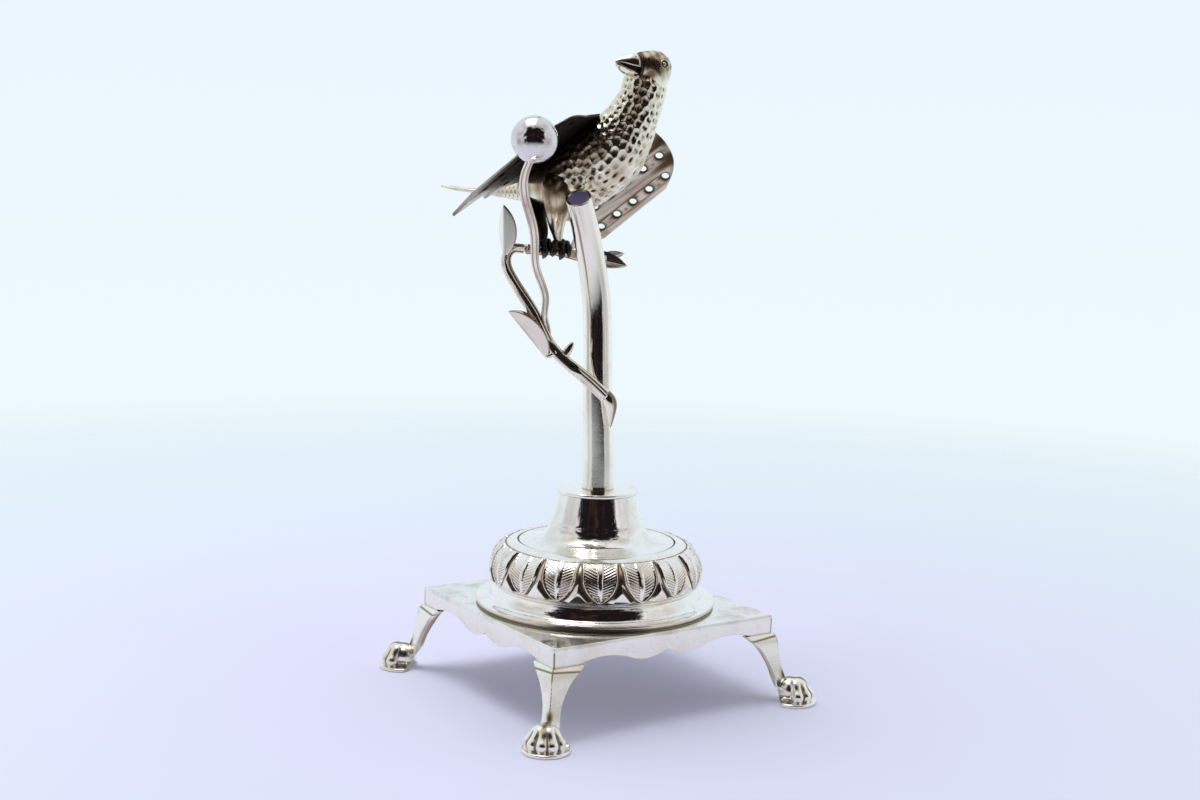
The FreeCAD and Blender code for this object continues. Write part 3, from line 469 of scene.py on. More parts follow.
LEAFED = metal("chased_leaf_silver", (0.9, 0.87, 0.82), (0.56, 0.44, 0.3), (0.025, 0.02, 0.016),
               0.13, 0.6, 0.03)
CHASED = metal("oxidised_chased_silver", (0.9, 0.85, 0.71), (0.36, 0.25, 0.15), (0.022, 0.014, 0.013),
               0.14, 0.85, 0.05, 0.4, 0.1)
# For the far wing: darker and heavily stained, partly real stains and partly painted shade over the inner face
# that is seen.
SHEET = metal("stained_wing_silver_with_painted_shade", (0.82, 0.75, 0.65), (0.27, 0.18, 0.1), (0.02, 0.015, 0.012),
              0.44, 0.9, 0.16, 0.8)
# For the near wing: a darker copy of the wing silver, whose tone paints shade over the underside; the tips stay
# silver.
SHADED = metal("painted_shade_wing_silver", (0.62, 0.59, 0.55), (0.2, 0.14, 0.09), (0.012, 0.01, 0.01),
               0.32, 0.9, 0.06)
# For the feet: near black all over.
CLAW = metal("dark_claw_silver", (0.09, 0.08, 0.075), (0.03, 0.024, 0.02), (0.005, 0.005, 0.005),
             0.3, 0.8, 0.06)
CAP = metal("blue_black_cap_silver", (0.5, 0.47, 0.86), (0.3, 0.26, 0.5), (0.02, 0.018, 0.03),
            0.42, 0.7, 0.03)
BELL = metal("dented_bell_silver", (0.9, 0.88, 0.84), (0.62, 0.54, 0.42), (0.03, 0.022, 0.018),
             0.09, 0.6, 0.11)
BRANCH = metal("stained_branch_silver", (0.86, 0.8, 0.71), (0.36, 0.27, 0.19), (0.025, 0.02, 0.016),
               0.12, 0.9, 0.05)
BALL = metal("polished_ball_silver", (0.72, 0.69, 0.7), (0.42, 0.34, 0.33), (0.03, 0.024, 0.02),
             0.1, 0.8, 0.03)
BRASS = metal("old_brass", (0.78, 0.58, 0.28), (0.42, 0.28, 0.13), (0.05, 0.035, 0.02),
              0.28, 0.7, 0.03)


def finished(label, piece, material, body, sharp=None):
    """Names and smooth-shades a piece, gives it its material, puts it under its body and hides the part it
    stands for; edges turned by more than sharp degrees stay crisp.
    """
    chosen(piece)
    if sharp:
        bpy.ops.object.shade_smooth_by_angle(angle=radians(sharp))
    else:
        bpy.ops.object.shade_smooth()
    piece.name = label + "_finished"
    piece.data.name = piece.name
    piece.data.materials.clear()
    piece.data.materials.append(material)
    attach(piece, body)
    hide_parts(label)
    return piece


def base_piece(label, piece, material=POLISHED, sharp=32):
    return finished(label, piece, material, "base", sharp)


def figure_piece(label, piece, material=TUBE, sharp=None):
    piece.data.transform(FIGURE_PLACE)
    return finished(label, piece, material, "figure", sharp)


def chased_piece(label, piece, material=CHASED, sharp=None):
    return figure_piece(label, piece, material, sharp)


# ---------------------------------------------------------------- platform and aprons

def make_platform():
    """A square plate with its upper edges rounded and a hole for the rod."""
    side, middle = 2 * CORNER * MM, PLATE_TOP - PLATE_THICK / 2
    cleared()
    bpy.ops.mesh.primitive_cube_add(size=1, location=(0, 0, middle * MM), scale=(side, side, PLATE_THICK * MM))
    plate = settled()
    picked(plate, "edges", lambda edge: all(v.co.z > middle * MM for v in edge.verts))
    bpy.ops.mesh.bevel(offset=0.35 * MM, segments=5, affect="EDGES")
    to_object()
    base_piece("platform_top", drilled(plate, 96, ROD_HOLE, middle), SATIN, sharp=35)


def make_aprons():
    """One scalloped strip, pulled to its thickness and mitred at both ends, then copied to four sides."""
    top, thick, shaded_from = PLATE_TOP - PLATE_THICK, 0.9, 34.4
    right = arcs((0, 3.7), ((6.2, 5.4), (12.2, 4.2), 22), ((18.5, 3.0), (27.7, 4.1), 26)) + [(CORNER, 4.1)]
    edge = [(-x, top - d) for x, d in right[:0:-1]] + [(x, top - d) for x, d in right]
    strip = outlined(edge + [(CORNER, top), (-CORNER, top)])
    strip.data.transform(Matrix.Translation((0, -CORNER * MM, 0)))
    to_edit()
    bpy.ops.mesh.edge_face_add()
    bpy.ops.mesh.extrude_region_move(TRANSFORM_OT_translate={"value": (0, thick * MM, 0)})
    cuts = [((hand * CORNER, -CORNER, 20), (hand, 1, 0), True) for hand in (1, -1)]
    cuts += [((place, 0, 0), (1, 0, 0), False) for place in (-shaded_from, shaded_from)]
    for place, normal, mitre in cuts:
        bpy.ops.mesh.select_all(action="SELECT")
        bpy.ops.mesh.bisect(plane_co=[v * MM for v in place], plane_no=normal,
                            use_fill=mitre, clear_outer=mitre)
    sewn(MERGE)

    def lower_outer(edge):
        low = all(v.co.z < (top - 0.1) * MM for v in edge.verts)
        outer = any(abs(v.co.y + CORNER * MM) <= 0.5 * MM for v in edge.verts)
        return low and outer and edge.calc_face_angle(0) > radians(50)

    picked(strip, "edges", lower_outer)
    bpy.ops.mesh.bevel(offset=0.16 * MM, segments=3, affect="EDGES")
    to_object()
    x, y, _ = read_points(strip).T
    # Tone: dark mitre joints at the corners, and painted shade over the inner face.
    noted(strip, darkest(0.95 * ramp(abs(x), 34.5, 34.95), 0.5 * (y > -CORNER + 0.6)))
    for quarter, label in enumerate(("apron_front", "apron_right", "apron_back", "apron_left")):
        base_piece(label, copied(strip, Matrix.Rotation(quarter * pi / 2, 4, "Z")), APRON_SILVER)
    bpy.data.objects.remove(strip)


# ---------------------------------------------------------------- cast legs with lion paws

# Places of the shin's ridge, with its width in the fourth column.
SHIN = natural([(0.9, 0, 18.9, 13.8), (1.7, 0, 17.6, 12.2), (2.2, 0, 15.6, 9.3), (2.6, 0, 13.23, 7.1),
                (3.1, 0, 11.0, 5.7), (3.6, 0, 9.07, 5.0), (4.6, 0, 5.92, 5.0), (4.9, 0, 4.4, 5.2)], 40)
# A toe's places out from the paw's middle and up, and its radii.
TOE = ((0.2, 5.6, 1.2), (1.7, 5.3, 1.72), (3.2, 3.9, 1.5), (4.35, 2.2, 1.72), (5.3, 1.1, 0.9))
TOE_STEP = 34
PAW, PAW_RADIUS = 6.7, 6.3


def shin():
    """The angle-shaped shin: its ridge is outwards, its hollow faces the middle of the base."""
    slant = 2.3 * sqrt(0.5)
    rows = []
    for ridge, _, z, width in SHIN:
        half = width / 2
        side = [(ridge - half / 2, half / 2, z), (ridge - half, half, z),
                (ridge - half - slant, half - slant, z)]
        rows.append([(ridge, 0, z), *side, (ridge - 2 * slant, 0, z), *((x, -y, z) for x, y, z in side[::-1])])
    return woven(rows)


def make_legs():
    """One casting, skinned over its parts, then copied to the four corners."""
    sole = softened(cylinder(64, PAW_RADIUS, 1.0, PAW, 0.5), 0.25, 2)
    parts = [shin(), ball((5.94, 0, 3.3), 3.7), noted(sole)]
    for step in range(-2, 3):
        a = radians(TOE_STEP * step)
        out = vec(cos(a), sin(a), 0)
        toe = natural([(*(vec(PAW, 0, 0) + out * o + UP * z), r) for o, z, r in TOE], 26)
        parts.append(tube(toe, np.cross(out, UP), 20, ends=0.9))
    leg = merged(parts)
    applied(leg, "REMESH", mode="VOXEL", voxel_size=0.2 * MM)
    applied(leg, "SMOOTH", factor=0.5, iterations=3)

    points = read_points(leg)
    x, y, z = points.T
    lean, knee, floor_snap = radians(31), 6.5, 0.12
    past = np.minimum((x - 4.41) * cos(lean) + z * sin(lean), 0) * (z < knee)
    x -= past * cos(lean)
    z -= past * sin(lean)
    z[z < floor_snap] = 0.0
    set_points(leg, points)

    # Tone, painted shade: in the grooves between the toes, in the shin's hollow, in the cleft on its outer face
    # and under its top, with a dark line down the top of the ridge.
    around = np.degrees(np.arctan2(y, x - PAW))
    gaps = sum(hump(around - gap, 4.2) for gap in TOE_STEP * np.arange(-1.5, 2))
    gaps = gaps * ramp(np.hypot(x - PAW, y), 1.4, 3.2) * ramp(z, 0.9, 1.5) * (1 - ramp(z, 5.2, 6.4))
    behind = np.interp(z, SHIN[::-1, 2], SHIN[::-1, 0]) - abs(y) - x
    outer = ramp(-behind, -0.9, -0.4)
    hollow = ramp(behind, 1.3, 2.4) * ramp(z, 6.0, 8.0)
    cleft = hump(np.hypot(y * 1.1, (z - 7.4) * 0.55), 1.0) * outer
    seam_and_painted_stripe = hump(y, 0.24) * outer * ramp(z, 14.0, 17.0)
    under = hump(z - 18.2 + 0.12 * abs(y), 0.3)
    noted(leg, darkest(0.85 * gaps, 0.45 * hollow, 0.95 * cleft, 0.7 * seam_and_painted_stripe, 0.75 * under))
    for label, angle in (("leg_front_left", 225), ("leg_front_right", 315),
                         ("leg_back_right", 45), ("leg_back_left", 135)):
        place = Matrix.Rotation(radians(angle), 4, "Z") @ Matrix.Translation((CORNER * sqrt(2) * MM, 0, 0))
        base_piece(label, copied(leg, place), CAST, sharp=None)
    bpy.data.objects.remove(leg)


# ---------------------------------------------------------------- dome

def make_foot_ring():
    profile = [(31.4, 0), (32.3, 0), (32.5, 0.08), (32.6, 0.25), (32.6, 0.5), (32.7, 0.6), (33.0, 0.62),
               (33.14, 0.72), (33.2, 0.9), (33.2, 1.25), (33.14, 1.42), (33.0, 1.5), (31.6, 1.55), (30.6, 1.62),
               (30.0, 1.75), (29.62, 2.0), (29.42, 2.35)]
    profile += arcs((29.25, 2.9), ((28.75, 4.2), (28.1, 5.25), 10))
    profile += [(27.75, 5.5), (27.5, 5.58), (26.8, 5.6)]
    profile += arcs((26.7, 5.6), ((28.2, 2.2), (31.4, 0.8), 20))
    # Tone: painted shadow in the gap where the ring stands on the plate, and painted shade on its outer edge.
    tone = [0.6 if z < 0.65 and r > 32 else 0.3 if r > 33.1 else 0.0 for r, z in profile]
    base_piece("foot_ring", turned(profile, PLATE_TOP, 320, tone))


def leaf_width(height, half_pitch):
    """Half the width of a hanging leaf: nearly up to its neighbour above, drawn in to a tip below."""
    widest, shoulder, gap = 4.55, 7.0, 0.3
    side = np.array(arcs((widest, shoulder), ((3.4, 3.8), (0.0, 0.95), 60)))
    order = np.argsort(side[:, 1])
    below = np.interp(height, side[order, 1], side[order, 0], left=0.0)
    return np.minimum(np.where(height < shoulder, below, widest), half_pitch - gap)


def leaf_relief(across, height, half_pitch):
    """Rise over the band and painted darkness at a place measured from a leaf's middle: shade in the outlines,
    grooves, veins and the ground between leaves, on one facet of each dart and along the band's ends.
    """
    off, step = abs(across), 0.05
    slope = (leaf_width(height + step, half_pitch) - leaf_width(height - step, half_pitch)) / (2 * step)
    inside = (leaf_width(height, half_pitch) - off) / np.sqrt(1 + slope ** 2)
    inside = np.where(height < 0.97, -1.0, inside)
    body = ramp(11.0 - height, 0.1, 0.4)
    border = ramp(inside, -0.15, 0.2) * (1 - ramp(inside, 0.4, 0.75))
    field = ramp(inside, 0.2, 0.65)
    half_rib = 0.28 + 0.05 * np.clip(height - 2, 0, 8)
    rib = (1 - ramp(off, half_rib, half_rib + 0.2)) * field
    groove = ramp(np.cos((height - 0.42 * off) * FULL / 0.68), 0.1, 0.9)
    beside_rib = field * ramp(off, half_rib + 0.15, half_rib + 0.4)
    rise = np.maximum(0.66 * border, (0.24 + 0.05 * off) * field - 0.1 * groove * beside_rib)
    rise = np.maximum(rise, 0.5 * rib) * body
    dart_width = np.interp(height, [0.9, 1.3, 6.4], [0.0, 4.3, 0.0])
    dart = np.clip((dart_width - (half_pitch - off)) / 1.9, 0, 1) * ramp(-inside, 0.1, 0.42)

    ground = ramp(-inside, 0.0, 0.22) * (1 - ramp(dart, 0.0, 0.2)) * ramp(height, 1.0, 1.6)
    line = hump(inside + 0.28, 0.26) * ramp(-inside, -0.05, 0.1) * ramp(height, 0.9, 1.4)
    # Painted shade on one facet of each dart only.
    facet = ramp(dart, 0.12, 0.32) * (1 - ramp(dart, 0.85, 1.0)) * ramp(-across, 0.1, 0.3)
    rib_line = hump(off - half_rib - 0.24, 0.12) * beside_rib
    veins = (0.12 + 0.5 * groove) * beside_rib * ramp(9.5 - height, 0, 4)
    rim_line = hump(inside - 0.62, 0.13) * ramp(7.0 - height, 0, 3)
    leaf_tone = darkest(0.3 * ground, 0.95 * line, 0.6 * rib_line, veins, 0.5 * rim_line) * body
    # Painted shadow under the step over the leaf tops, and painted shade along the lip below.
    ends = darkest(0.8 * hump(height - 10.86, 0.13), 0.3 * hump(height - 0.72, 0.13))
    return np.maximum(rise, dart * 0.75), darkest(leaf_tone, 0.95 * facet * ramp(height, 1.25, 1.7), ends)


def make_leaf_band():
    """Ovolo ring with sixteen hanging leaves chased in relief, darts between them and a lip below."""
    leaves, first_leaf, columns_per_leaf = 16, radians(14), 50
    low, high = (28.2, 0.5), (22.0, 11.9)
    cx, cz, radius = circle_through(low, (29.0, 3.95), high)
    sweep = np.linspace(atan2(low[1] - cz, low[0] - cx), atan2(high[1] - cz, high[0] - cx), 106)
    profile = [(27.3, 0.0), (28.4, 0.0), (28.5, 0.1), (28.5, 0.38), (28.42, 0.5), (28.3, 0.53)]
    rows = slice(len(profile), len(profile) + len(sweep))
    profile += [(cx + radius * cos(a), cz + radius * sin(a)) for a in sweep]
    profile += [(21.9, 11.6), (21.86, 10.8), (20.4, 10.8), (20.4, 9.9), (21.4, 9.9), (24.6, 8.2), (27.0, 5.5),
                (27.6, 3.0), (27.3, 0.5), (26.7, 0.4), (26.7, 0.0)]
    angle, step = circle(leaves * columns_per_leaf), FULL / leaves
    offset = (angle - first_leaf + step / 2) % step - step / 2
    r, z = (np.repeat(np.array(profile)[:, i:i + 1], len(angle), axis=1) for i in (0, 1))
    tone = np.zeros_like(r)
    height = z[rows].copy()
    rise, tone[rows] = leaf_relief(r[rows] * offset[None, :], height, step * r[rows] / 2)
    rise = rise * ramp(height, 0.5, 0.9)
    r[rows] += rise * np.cos(sweep)[:, None]
    z[rows] += rise * np.sin(sweep)[:, None]
    points = np.stack([r * np.cos(angle), r * np.sin(angle), z + BAND_FLOOR], -1)
    base_piece("leaf_band", woven(points, tone, caps=False, loop=True), LEAFED, sharp=None)


def make_bell():
    waist = arcs((21.3, -0.17), ((19.0, 0.15), (17.0, 0.6), 8), ((14.0, 2.5), (12.9, 5.5), 24),
                 ((11.55, 9.5), (10.4, 13.4), 14))
    inner = arcs((9.5, 13.4), ((10.7, 9.5), (12.0, 5.5), 8), ((13.2, 2.0), (16.4, -1.1), 12))
    profile = [(21.7, -1.1), (21.7, -0.35), (21.66, -0.24), (21.55, -0.2)] + waist + inner
    # Tone: painted shade on the rim where it sits in the leaf band.
    tone = [0.9 if r > 21.5 else 0.0 for r, _ in profile]
    base_piece("dome_bell", turned(profile, BELL_FLOOR, 320, tone), BELL)


def make_collar():
    radius, top, rounding = 11.3, COLLAR_TOP - COLLAR_FLOOR, 0.42
    profile = [(ROD_HOLE, -1.0), (9.3, -1.0), (9.44, -0.85), (9.44, 0.0), (11.1, 0.0), (11.24, 0.06),
               (radius, 0.2)]
    profile += [(radius + rounding * (cos(a) - 1), top + rounding * (sin(a) - 1))
                for a in np.linspace(0, pi / 2, 8)]
    profile += [(r, top) for r in (10.2, 7.0, 5.0, ROD_HOLE)]
    # Tone: painted shade on the lower edge, where the collar sits on the bell.
    tone = [0.85 if r > 9.3 and z < 0.1 else 0.0 for r, z in profile]
    base_piece("dome_collar", turned(profile, COLLAR_FLOOR, 256, tone))


def make_fastening():
    """Washer and nut under the plate, and the rod that runs up into the trunk."""
    washer = [(ROD_HOLE, 22.2), (4.8, 22.2), (4.95, 22.27), (5.0, 22.4), (5.0, 23.0), (ROD_HOLE, 23.0)]
    base_piece("clamp_washer", turned(washer, 0, 96), BRASS)
    middle = 20.7
    nut = softened(cylinder(6, 4.02, 3, 0, middle), 0.28, 3)
    root, crest, full, start, end, pitch = 1.7, 1.97, 2.0, 17.6, 67.95, 0.4
    thread = [(r, 17.95 + pitch * i + z) for i in range(14) for r, z in ((crest, 0), (root, pitch / 2))]
    rod = [(0, start), (root, start), (crest, 17.85)] + thread
    rod += [(full, 23.7), (full, 67.6), (root, end), (0, end)]
    for label, piece in (("clamp_nut", drilled(nut, 48, 2.0, middle)), ("tie_rod", turned(rod, 0, 48))):
        finished(label, piece, BRASS, "figure", 28)


# ---------------------------------------------------------------- trunk, vine, perch, leaves and berry

TRUNK = [(-7.3 * x, -12.4 * y, 79.6 * z, 4.4 - 0.9 * i / 7) for i, (z, x, y) in enumerate((
    (0.0, 0, 0), (0.06, 0, 0), (0.22, 0.06, 0), (0.48, 0.16, 0), (0.65, 0.25, 0.01), (0.77, 0.44, 0.16),
    (0.89, 0.71, 0.5), (1.0, 1.0, 1.0)))]
VINE = [(1.6, -5.89, 26.0), (-2.6, -6.79, 29.96), (-9.6, -8.8, 35.88), (-14.0, -10.4, 40.69),
        (-17.9, -10.6, 48.09), (-21.4, -9.6, 53.27), (-24.7, -8.0, 58.08), (-26.3, -5.9, 62.52),
        (-24.8, -3.6, 65.3), (-21.6, -1.7, 65.3)]
PERCH_LINE = [(-21.6, -1.7, 65.3), (-17.0, 0.4, 65.1), (-12.2, 1.9, 64.8), (-8.2, 2.8, 63.8), (-3.6, 3.6, 63.1),
              (0.6, 4.5, 63.1)]
BERRY, BERRY_RADIUS = vec(-18.1, -35.0, 93.75), 5.9


def make_trunk():
    """A polished tube with a rolled rim; the cap lies sunk in its leaning top."""
    route = natural(TRUNK, 150)
    path, radii, last = route[:, :3], route[:, 3], len(route) - 1
    tangent, first, second = carried(path, RIGHT)
    end, out = path[-1], tangent[-1]
    angle = circle(96)
    around = spokes(first, second, np.cos(angle), np.sin(angle))
    drop, inwards = np.array([(-0.28, 0.0), (-0.1, -0.06), (0.0, -0.22), (0.0, -0.48), (-0.08, -0.64),
                              (-0.2, -0.7), (-0.75, -0.7)]).T
    centres = np.concatenate([path[:-1], end + out * drop[:, None]])
    rings = np.concatenate([radii[:-1], radii[-1] + inwards])
    row = np.arange(len(rings))
    points = centres[:, None] + rings[:, None, None] * around[np.minimum(row, last)]
    row = row[:, None]
    # Painted reflection: a dark stripe down one side of the upper, leaning tube, a fainter one beside it, and
    # the whole upper tube a little darker; both ends get painted shade where other pieces meet them.
    seam_and_painted_stripe = 0.72 * hump(angle - 3.35 - 0.08 * np.sin(row * 0.11), 0.16)
    faint_painted_stripe = 0.2 * hump(angle - 4.4 + 0.15 * np.sin(row * 0.2), 0.12)
    upper = darkest(seam_and_painted_stripe, faint_painted_stripe, 0.13) * ramp(row, 70, 110)
    ends = 0.5 * ((row == 0) | (row >= len(row) - 2))
    figure_piece("trunk", woven(points, darkest(upper, ends)), sharp=50)
    lid = [(-0.75, 2.76), (-0.2, 2.76), (-0.16, 2.72)]
    lid += [(-0.16 - 0.1 * (1 - r / 2.6), r) for r in (2.6, 2.0, 1.2, 0.5, 0.02)]
    figure_piece("trunk_cap", woven([end + out * d + r * around[-1] for d, r in lid]), CAP, sharp=50)


def vine_carve(angle, along):
    """A rolled strip: a fine dark seam, which opens into a channel over the middle of its length; the channel
    is painted dark as shade.
    """
    opened = ramp(along, 10.0, 14.5) * (1 - ramp(along, 20.5, 25.0))
    seam_and_painted_stripe = hump(wrapped(angle - 0.75), 0.2) * (1 - opened)
    channel = hump(wrapped(angle - 0.25) / (0.2 + 0.62 * opened), 1.0) * opened
    return 1 - 0.16 * seam_and_painted_stripe - 0.62 * channel, darkest(0.8 * seam_and_painted_stripe, 0.98 * ramp(channel, 0.15, 0.6))


# Painted shade down one side of the spur.
def spur_carve(angle, along):
    return 1.0, 0.6 * hump(np.sin(angle) + 0.75, 0.35)


# The bud's creases are painted dark as shade.
def bud_carve(angle, along):
    crease = hump(np.sin(angle * 1.5), 0.3)
    return 1 - 0.14 * crease, 0.6 * crease


def perch_carve(angle, along):
    seam_and_painted_stripe = hump(wrapped(angle - 1.0), 0.25)
    knots = hump(along - 4.7, 0.5) + hump(along - 9.9, 0.5) + hump(along - 17.5, 0.6)
    streaks = 0.5 + 0.5 * np.sin(angle * 3 + along * 0.5)
    return 1 - 0.14 * seam_and_painted_stripe + 0.06 * knots, darkest(0.7 * seam_and_painted_stripe, 0.4 * streaks ** 2 + 0.3 * knots)


def make_vine():
    """The vine with the spur below its head, its bud, and the perch that carries it on."""
    route = natural(np.column_stack([VINE, np.linspace(1.75, 1.3, len(VINE))]), 190)
    spur = natural(knots_from(vec(*VINE[0]), (-0.6, 0.2, 1.2, 1.4), (0.8, 0, -0.6, 1.79),
                              (1.3, 0.25, -4.15, 1.31), (1.2, 0.6, -8.3, 0.25)), 50)
    stems = [tube(route, FRONT, 48, vine_carve, 0.7), tube(spur, FRONT, 32, spur_carve, 0.5)]
    figure_piece("vine", merged(stems), BRANCH)
    seat = 0.8 * vec(*VINE[2]) + 0.2 * vec(*VINE[3])
    bud = natural(knots_from(seat, (0.4, 0, 0.5, 1.2), (1.6, 0, 2.4, 1.1), (2.8, 0.1, 4.3, 0.4)), 26)
    figure_piece("vine_bud", tube(bud, FRONT, 24, bud_carve, 0.5), BRANCH)
    perch = natural(np.column_stack([PERCH_LINE, [1.4] * 5 + [1.12]]), 120)
    figure_piece("perch", tube(perch, FRONT, 40, perch_carve, 0.6), BRANCH)


def leaf(base, tip, side, half_width, fold):
    """A leaf folded along its raised rib, with thin edges."""
    belly, thick, shade, count = 0.42, 0.5, 0.2, 60
    base, tip = np.asarray(base, float), np.asarray(tip, float)
    x_axis = unit(tip - base)
    y_axis = unit(side - x_axis * (x_axis @ side))
    z_axis = np.cross(x_axis, y_axis)
    length = np.linalg.norm(tip - base)
    edge = np.array(arcs((0, 0), ((length * belly, half_width), (length, 0), count)))
    along = (1 - np.cos(np.linspace(0, pi, count))) / 2 * length
    along[0], along[-1] = 0.04, length - 0.04
    width = np.interp(along, edge[:, 0], edge[:, 1]) + 0.02
    share = np.sin(np.linspace(-pi / 2, pi / 2, 33))
    bend = radians(fold)
    across = share[None, :] * width[:, None]
    off = abs(across)
    edge_thin = 0.35 + 0.65 * np.sqrt(np.clip(1 - share ** 2, 0, 1))[None, :]
    rib = 0.22 * hump(across, 0.35) * (1 - along / length)[:, None]
    groove = hump(off - 0.5, 0.16)
    rim = 0.6 * ramp(off / width[:, None], 0.9, 0.99)
    # Tone: painted shade over one half of the leaf and in the grooves beside the rib; the edges are darker too.
    sheets, tones = [], []
    for face, ribbed, grooved in ((1, 1, 0.6), (-1, -0.6, 0.35)):
        level = off * sin(bend) + thick / 2 * (1 + face * edge_thin) + ribbed * rib
        sheets.append(base + x_axis * along[:, None, None] + y_axis * (across * cos(bend))[..., None]
                      + z_axis * level[..., None])
        tones.append(darkest(grooved * groove, rim, shade * ramp(across, 0.1, 0.7)))
    return woven(*(np.concatenate([upper[:, ::-1], lower], axis=1) for upper, lower in (sheets, tones)))


def make_leaves():
    """Four folded leaves, of which the lower one on the vine has a stalk."""
    seat = 0.4 * vec(*VINE[2]) + 0.6 * vec(*VINE[3])
    base = seat + vec(-2.5, -0.9, -2.0)
    stalk = natural([(*seat, 0.9), (*((seat + base) / 2), 0.8), (*(base + vec(-0.4, 0, 0.3)), 0.6)], 14)
    for label, *shape in (("upper_leaf", (-26.9, -6.5, 62.9), (-27.2, -9.0, 77.0), (0.8, -0.6, 0), 3.3, 28),
                          ("lower_leaf", base, base + vec(-10.3, -2.5, 12.4), FRONT, 4.9, 55),
                          ("perch_leaf", (-8.2, 2.6, 63.6), (6.2, 6.4, 61.0), (0.1, 0.5, 0.86), 2.7, 28),
                          ("perch_leaf_small", (-2.8, 5.2, 62.7), (5.4, 8.2, 64.4), (0, 0.3, 1), 1.4, 28)):
        blade = leaf(*shape)
        if label == "lower_leaf":
            blade = merged([blade, tube(stalk, FRONT, 16, ends=0.4)])
        figure_piece(label, blade, LEAFED)


def stem_carve(angle, along):
    """A flat strip with rounded corners, dished along its middle; painted shade along the dish's edges and in
    streaks over one side.
    """
    across, upright = np.cos(angle), np.abs(np.sin(angle))
    square = (np.abs(across) ** 4 + upright ** 4) ** -0.25
    dish = 0.22 * hump(upright - 1, 0.16)
    streaks = 0.5 + 0.5 * np.sin(along * 0.5 + across * 2.0)
    return square * (1 - dish) * 0.96, darkest(0.6 * hump(upright - 0.86, 0.06), 0.3 * streaks * (across > 0.2))


def make_berry():
    """A polished ball with a small navel, and the flat strip that carries it."""
    foot, top = vec(*VINE[3]), BERRY + vec(-1.0, 1.8, -4.9)
    joint = unit(top - BERRY)
    first = unit(np.cross(joint, (0, 1, 0)))
    second = np.cross(joint, first)
    polar, angle = np.linspace(0.01, pi - 0.01, 72), circle(96)
    radius = BERRY_RADIUS - 0.22 * hump(polar, 0.09) - 0.1 * hump(polar - pi, 0.12)
    ring = np.cos(angle)[:, None] * first + np.sin(angle)[:, None] * second
    out = (np.cos(polar) * radius)[:, None, None] * -joint + (np.sin(polar) * radius)[:, None, None] * ring
    # Tone: painted shade in the navel and in a ring where the stem meets the ball.
    tone = 0.85 * hump(polar, 0.07) + 0.5 * hump(polar - pi + 0.17, 0.05)
    figure_piece("berry", woven(BERRY + out, tone[:, None]), BALL)
    # Shares of the way from the vine to the ball on each axis, with the width there.
    stem = ((0.04, 0.0, 0.02, 0.6), (0.16, 0.02, 0.1, 0.75), (0.27, 0.05, 0.147, 0.8),
            (0.24, 0.09, 0.243, 0.85), (0.46, 0.14, 0.339, 0.9), (0.78, 0.225, 0.44, 0.95),
            (0.82, 0.336, 0.535, 1.0), (0.92, 0.47, 0.652, 1.05), (1.25, 0.646, 0.782, 1.05),
            (1.32, 0.845, 0.91, 1.0), (1.0, 1.0, 1.0, 0.85))
    route = natural([(*(foot + (top - foot) * share), width) for *share, width in stem], 160)
    strip = swept(route[:, :3], route[:, 3] * 1.15, 0.55, RIGHT, 40, stem_carve, ends=0.3)
    figure_piece("berry_stem", strip, BRANCH)


# ---------------------------------------------------------------- bird

HEADING, PITCH = radians(30), radians(36)
LEVEL = vec(cos(HEADING), -sin(HEADING), 0)
LEFT = vec(sin(HEADING), cos(HEADING), 0)
FORWARDS = LEVEL * cos(PITCH) + UP * sin(PITCH)
BIRD_UP = np.cross(FORWARDS, LEFT)
BIRD_START = vec(-13, 5, 64)

# Places along and up from the start, and radii, from the tail's root to the nape.
TAIL_ROOT, BREAST = (-12.2, 16.7), (15.8, 28.4)
SPINE = ((*TAIL_ROOT, 3.1), (-5.4, 18.3, 6.3), (2.7, 19.9, 9.3), (10.2, 24.4, 10.3), (*BREAST, 10.0),
         (20.1, 33.3, 8.2), (23.1, 38.4, 6.7), (25.1, 42.9, 6.0), (26.1, 46.6, 5.6), (27.3, 49.4, 3.6))


def bird(along, rise):
    return LEVEL * along + BIRD_START + UP * rise


